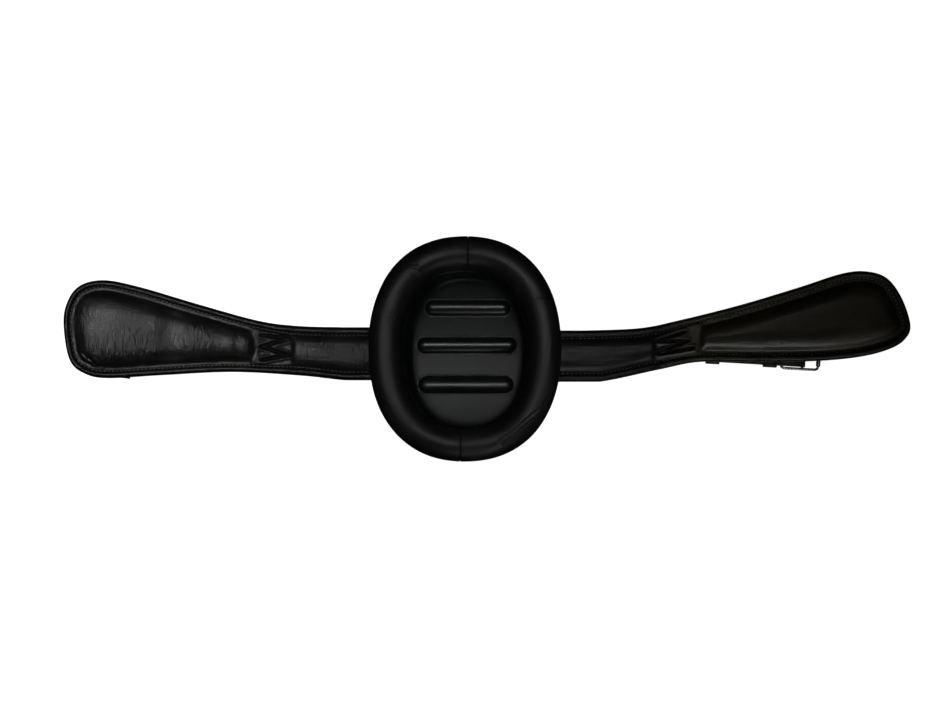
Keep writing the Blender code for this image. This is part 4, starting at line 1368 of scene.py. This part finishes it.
def keeper(name, node, body):
    low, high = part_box(node)
    middle = strap_place.inverted() @ ((low + high) / 2)
    right, left = KEEPER_SIDE - KEEPER_CORNER, -KEEPER_SIDE + KEEPER_CORNER
    upper, lower = KEEPER_TOP - KEEPER_CORNER, KEEPER_BOTTOM + KEEPER_CORNER
    ring = []
    for cy, cz, first in ((right, upper, 0), (left, upper, 90), (left, lower, 180),
                          (right, lower, 270)):
        for step in range(0, 91, 15):
            a = math.radians(first + step)
            ring.append((cy, cz, math.cos(a), math.sin(a)))
    end, soft_end = KEEPER_WIDTH / 2, KEEPER_WIDTH / 2 - KEEPER_SOFT
    outer, inner = KEEPER_CORNER - KEEPER_SOFT, KEEPER_INNER + KEEPER_SOFT
    section = [(-soft_end, KEEPER_CORNER), (soft_end, KEEPER_CORNER), (end, outer), (end, inner),
               (soft_end, KEEPER_INNER), (-soft_end, KEEPER_INNER), (-end, inner), (-end, outer)]
    points = []
    for cy, cz, c, s in ring:
        for x, radius in section:
            points.append(strap_place @ Vector((middle.x + x * MM, (cy + radius * c) * MM,
                                                (cz + radius * s) * MM)))
    faces = grid_faces(len(ring), len(section), wrap_rows=True, wrap_columns=True)
    make_piece(name, points, faces, strap_leather, (node,), body, sharp=60)


keeper("fixed_keeper_leather", "fixed_keeper", "buckle_strap")
keeper("sliding_keeper_leather", "sliding_keeper", "sliding_keeper")

# %% [markdown]
# ## Steel
# The buckle's frame, tongue and roller keep the shape of the model and only need plating.
# %% Plate the buckle
for node in ("buckle_frame", "buckle_tongue", "buckle_roller"):
    part = frame["nodes"][node]
    part.data.materials.clear()
    part.data.materials.append(steel)
    part.data.shade_smooth()
    part.data.set_sharp_from_angle(angle=math.radians(38))
print("buckle plated")

# %% [markdown]
# ## Studio
# The guard lies on white paper. Black leather shows little but what it reflects, so each zone
# gets its own light, placed where its roll, beads or pad should shine. A snoot, a lamp in a
# tube, reaches only its own zone; a faint soft box and a faint glow of the walls do the rest.
# %% Floor and lights
SNOOT_EDGE = 0.75             # how softly a snoot's circle fades out
FLOOR_HALF = 6.0
FLOOR_DROP = 0.0004           # keeps the paper just clear of the guard
WALL_GLOW = 0.22
CEILING_GLOW = 0.012


def aimed(data, place, target):
    light = bpy.data.objects.new(data.name, data)
    light.location = place
    light.rotation_euler = (Vector(target) - Vector(place)).to_track_quat("-Z", "Y").to_euler()
    bpy.context.collection.objects.link(light)


def soft_box(name, place, target, size, level):
    """A box light; level is how strongly it lights its target, in watts per square metre."""
    data = bpy.data.lights.new(name, "AREA")
    data.shape = "RECTANGLE"
    data.size, data.size_y = size
    distance = (Vector(target) - Vector(place)).length
    data.energy = level * math.pi * distance ** 2
    aimed(data, place, target)


def snoot(name, place, target, radius, level, reach):
    """A round light in a tube: it reaches only a circle of this reach round its target."""
    data = bpy.data.lights.new(name, "SPOT")
    data.shadow_soft_size = radius
    distance = (Vector(target) - Vector(place)).length
    data.spot_size = 2 * math.atan(reach / distance)
    data.spot_blend = SNOOT_EDGE
    data.energy = level * 4 * math.pi * distance ** 2
    aimed(data, place, target)


def white_floor():
    corners = [(x * FLOOR_HALF, y * FLOOR_HALF, 0) for x, y in ((-1, -1), (1, -1), (1, 1), (-1, 1))]
    mesh = bpy.data.meshes.new("white_floor")
    mesh.from_pydata(corners, [], [(0, 1, 2, 3)])
    paint = Finish("white_floor", Roughness=0.9, Specular_IOR_Level=0.1, Emission_Strength=1.0)
    paint.shader.inputs["Base Color"].default_value = (0.88, 0.88, 0.88, 1.0)
    paint.shader.inputs["Emission Color"].default_value = (1.0, 1.0, 1.0, 1.0)
    mesh.materials.append(paint.material)
    floor = bpy.data.objects.new("white_floor", mesh)
    floor.location.z = -FLOOR_DROP
    floor.visible_diffuse = False       # the paper stays white without lighting the leather
    floor.visible_glossy = False
    bpy.context.collection.objects.link(floor)


white_floor()
soft_box("overhead", (-0.2, 0.5, 2.8), (0.0, 0.0, 0.0), (1.8, 1.2), 0.004)
snoot("left_over", (-1.05, 0.12, 2.7), (-0.272, 0.01, 0.0), 0.10, 0.98, 0.20)
snoot("cup_over", (-0.05, 0.46, 2.8), (0.0, 0.0, 0.04), 0.20, 0.42, 0.23)
snoot("cup_left", (-1.30, 0.30, 2.3), (-0.02, 0.0, 0.04), 0.22, 0.10, 0.24)
snoot("cup_right", (1.10, 0.30, 2.3), (0.02, 0.0, 0.04), 0.22, 0.26, 0.24)
snoot("right_over", (0.50, 0.70, 2.8), (0.26, 0.0, 0.02), 0.20, 0.034, 0.32)
snoot("right_wing_low", (0.50, -2.20, 1.5), (0.26, 0.0, 0.02), 0.22, 0.56, 0.32)

# %% Walls and ceiling
world = bpy.data.worlds.new("studio")
bpy.context.scene.world = world
world.use_nodes = True
sky = world.node_tree
direction = add_node(sky, "ShaderNodeTexCoord")["Generated"]
height = add_node(sky, "ShaderNodeSeparateXYZ", Vector=direction)["Z"]
walls = height.between(0.0, 0.08) * (1 - height.between(0.45, 0.65)) * WALL_GLOW + CEILING_GLOW
sky.links.new(walls.socket, sky.nodes["Background"].inputs["Strength"])
bpy.context.scene.view_settings.view_transform = "Standard"
print("studio lit")
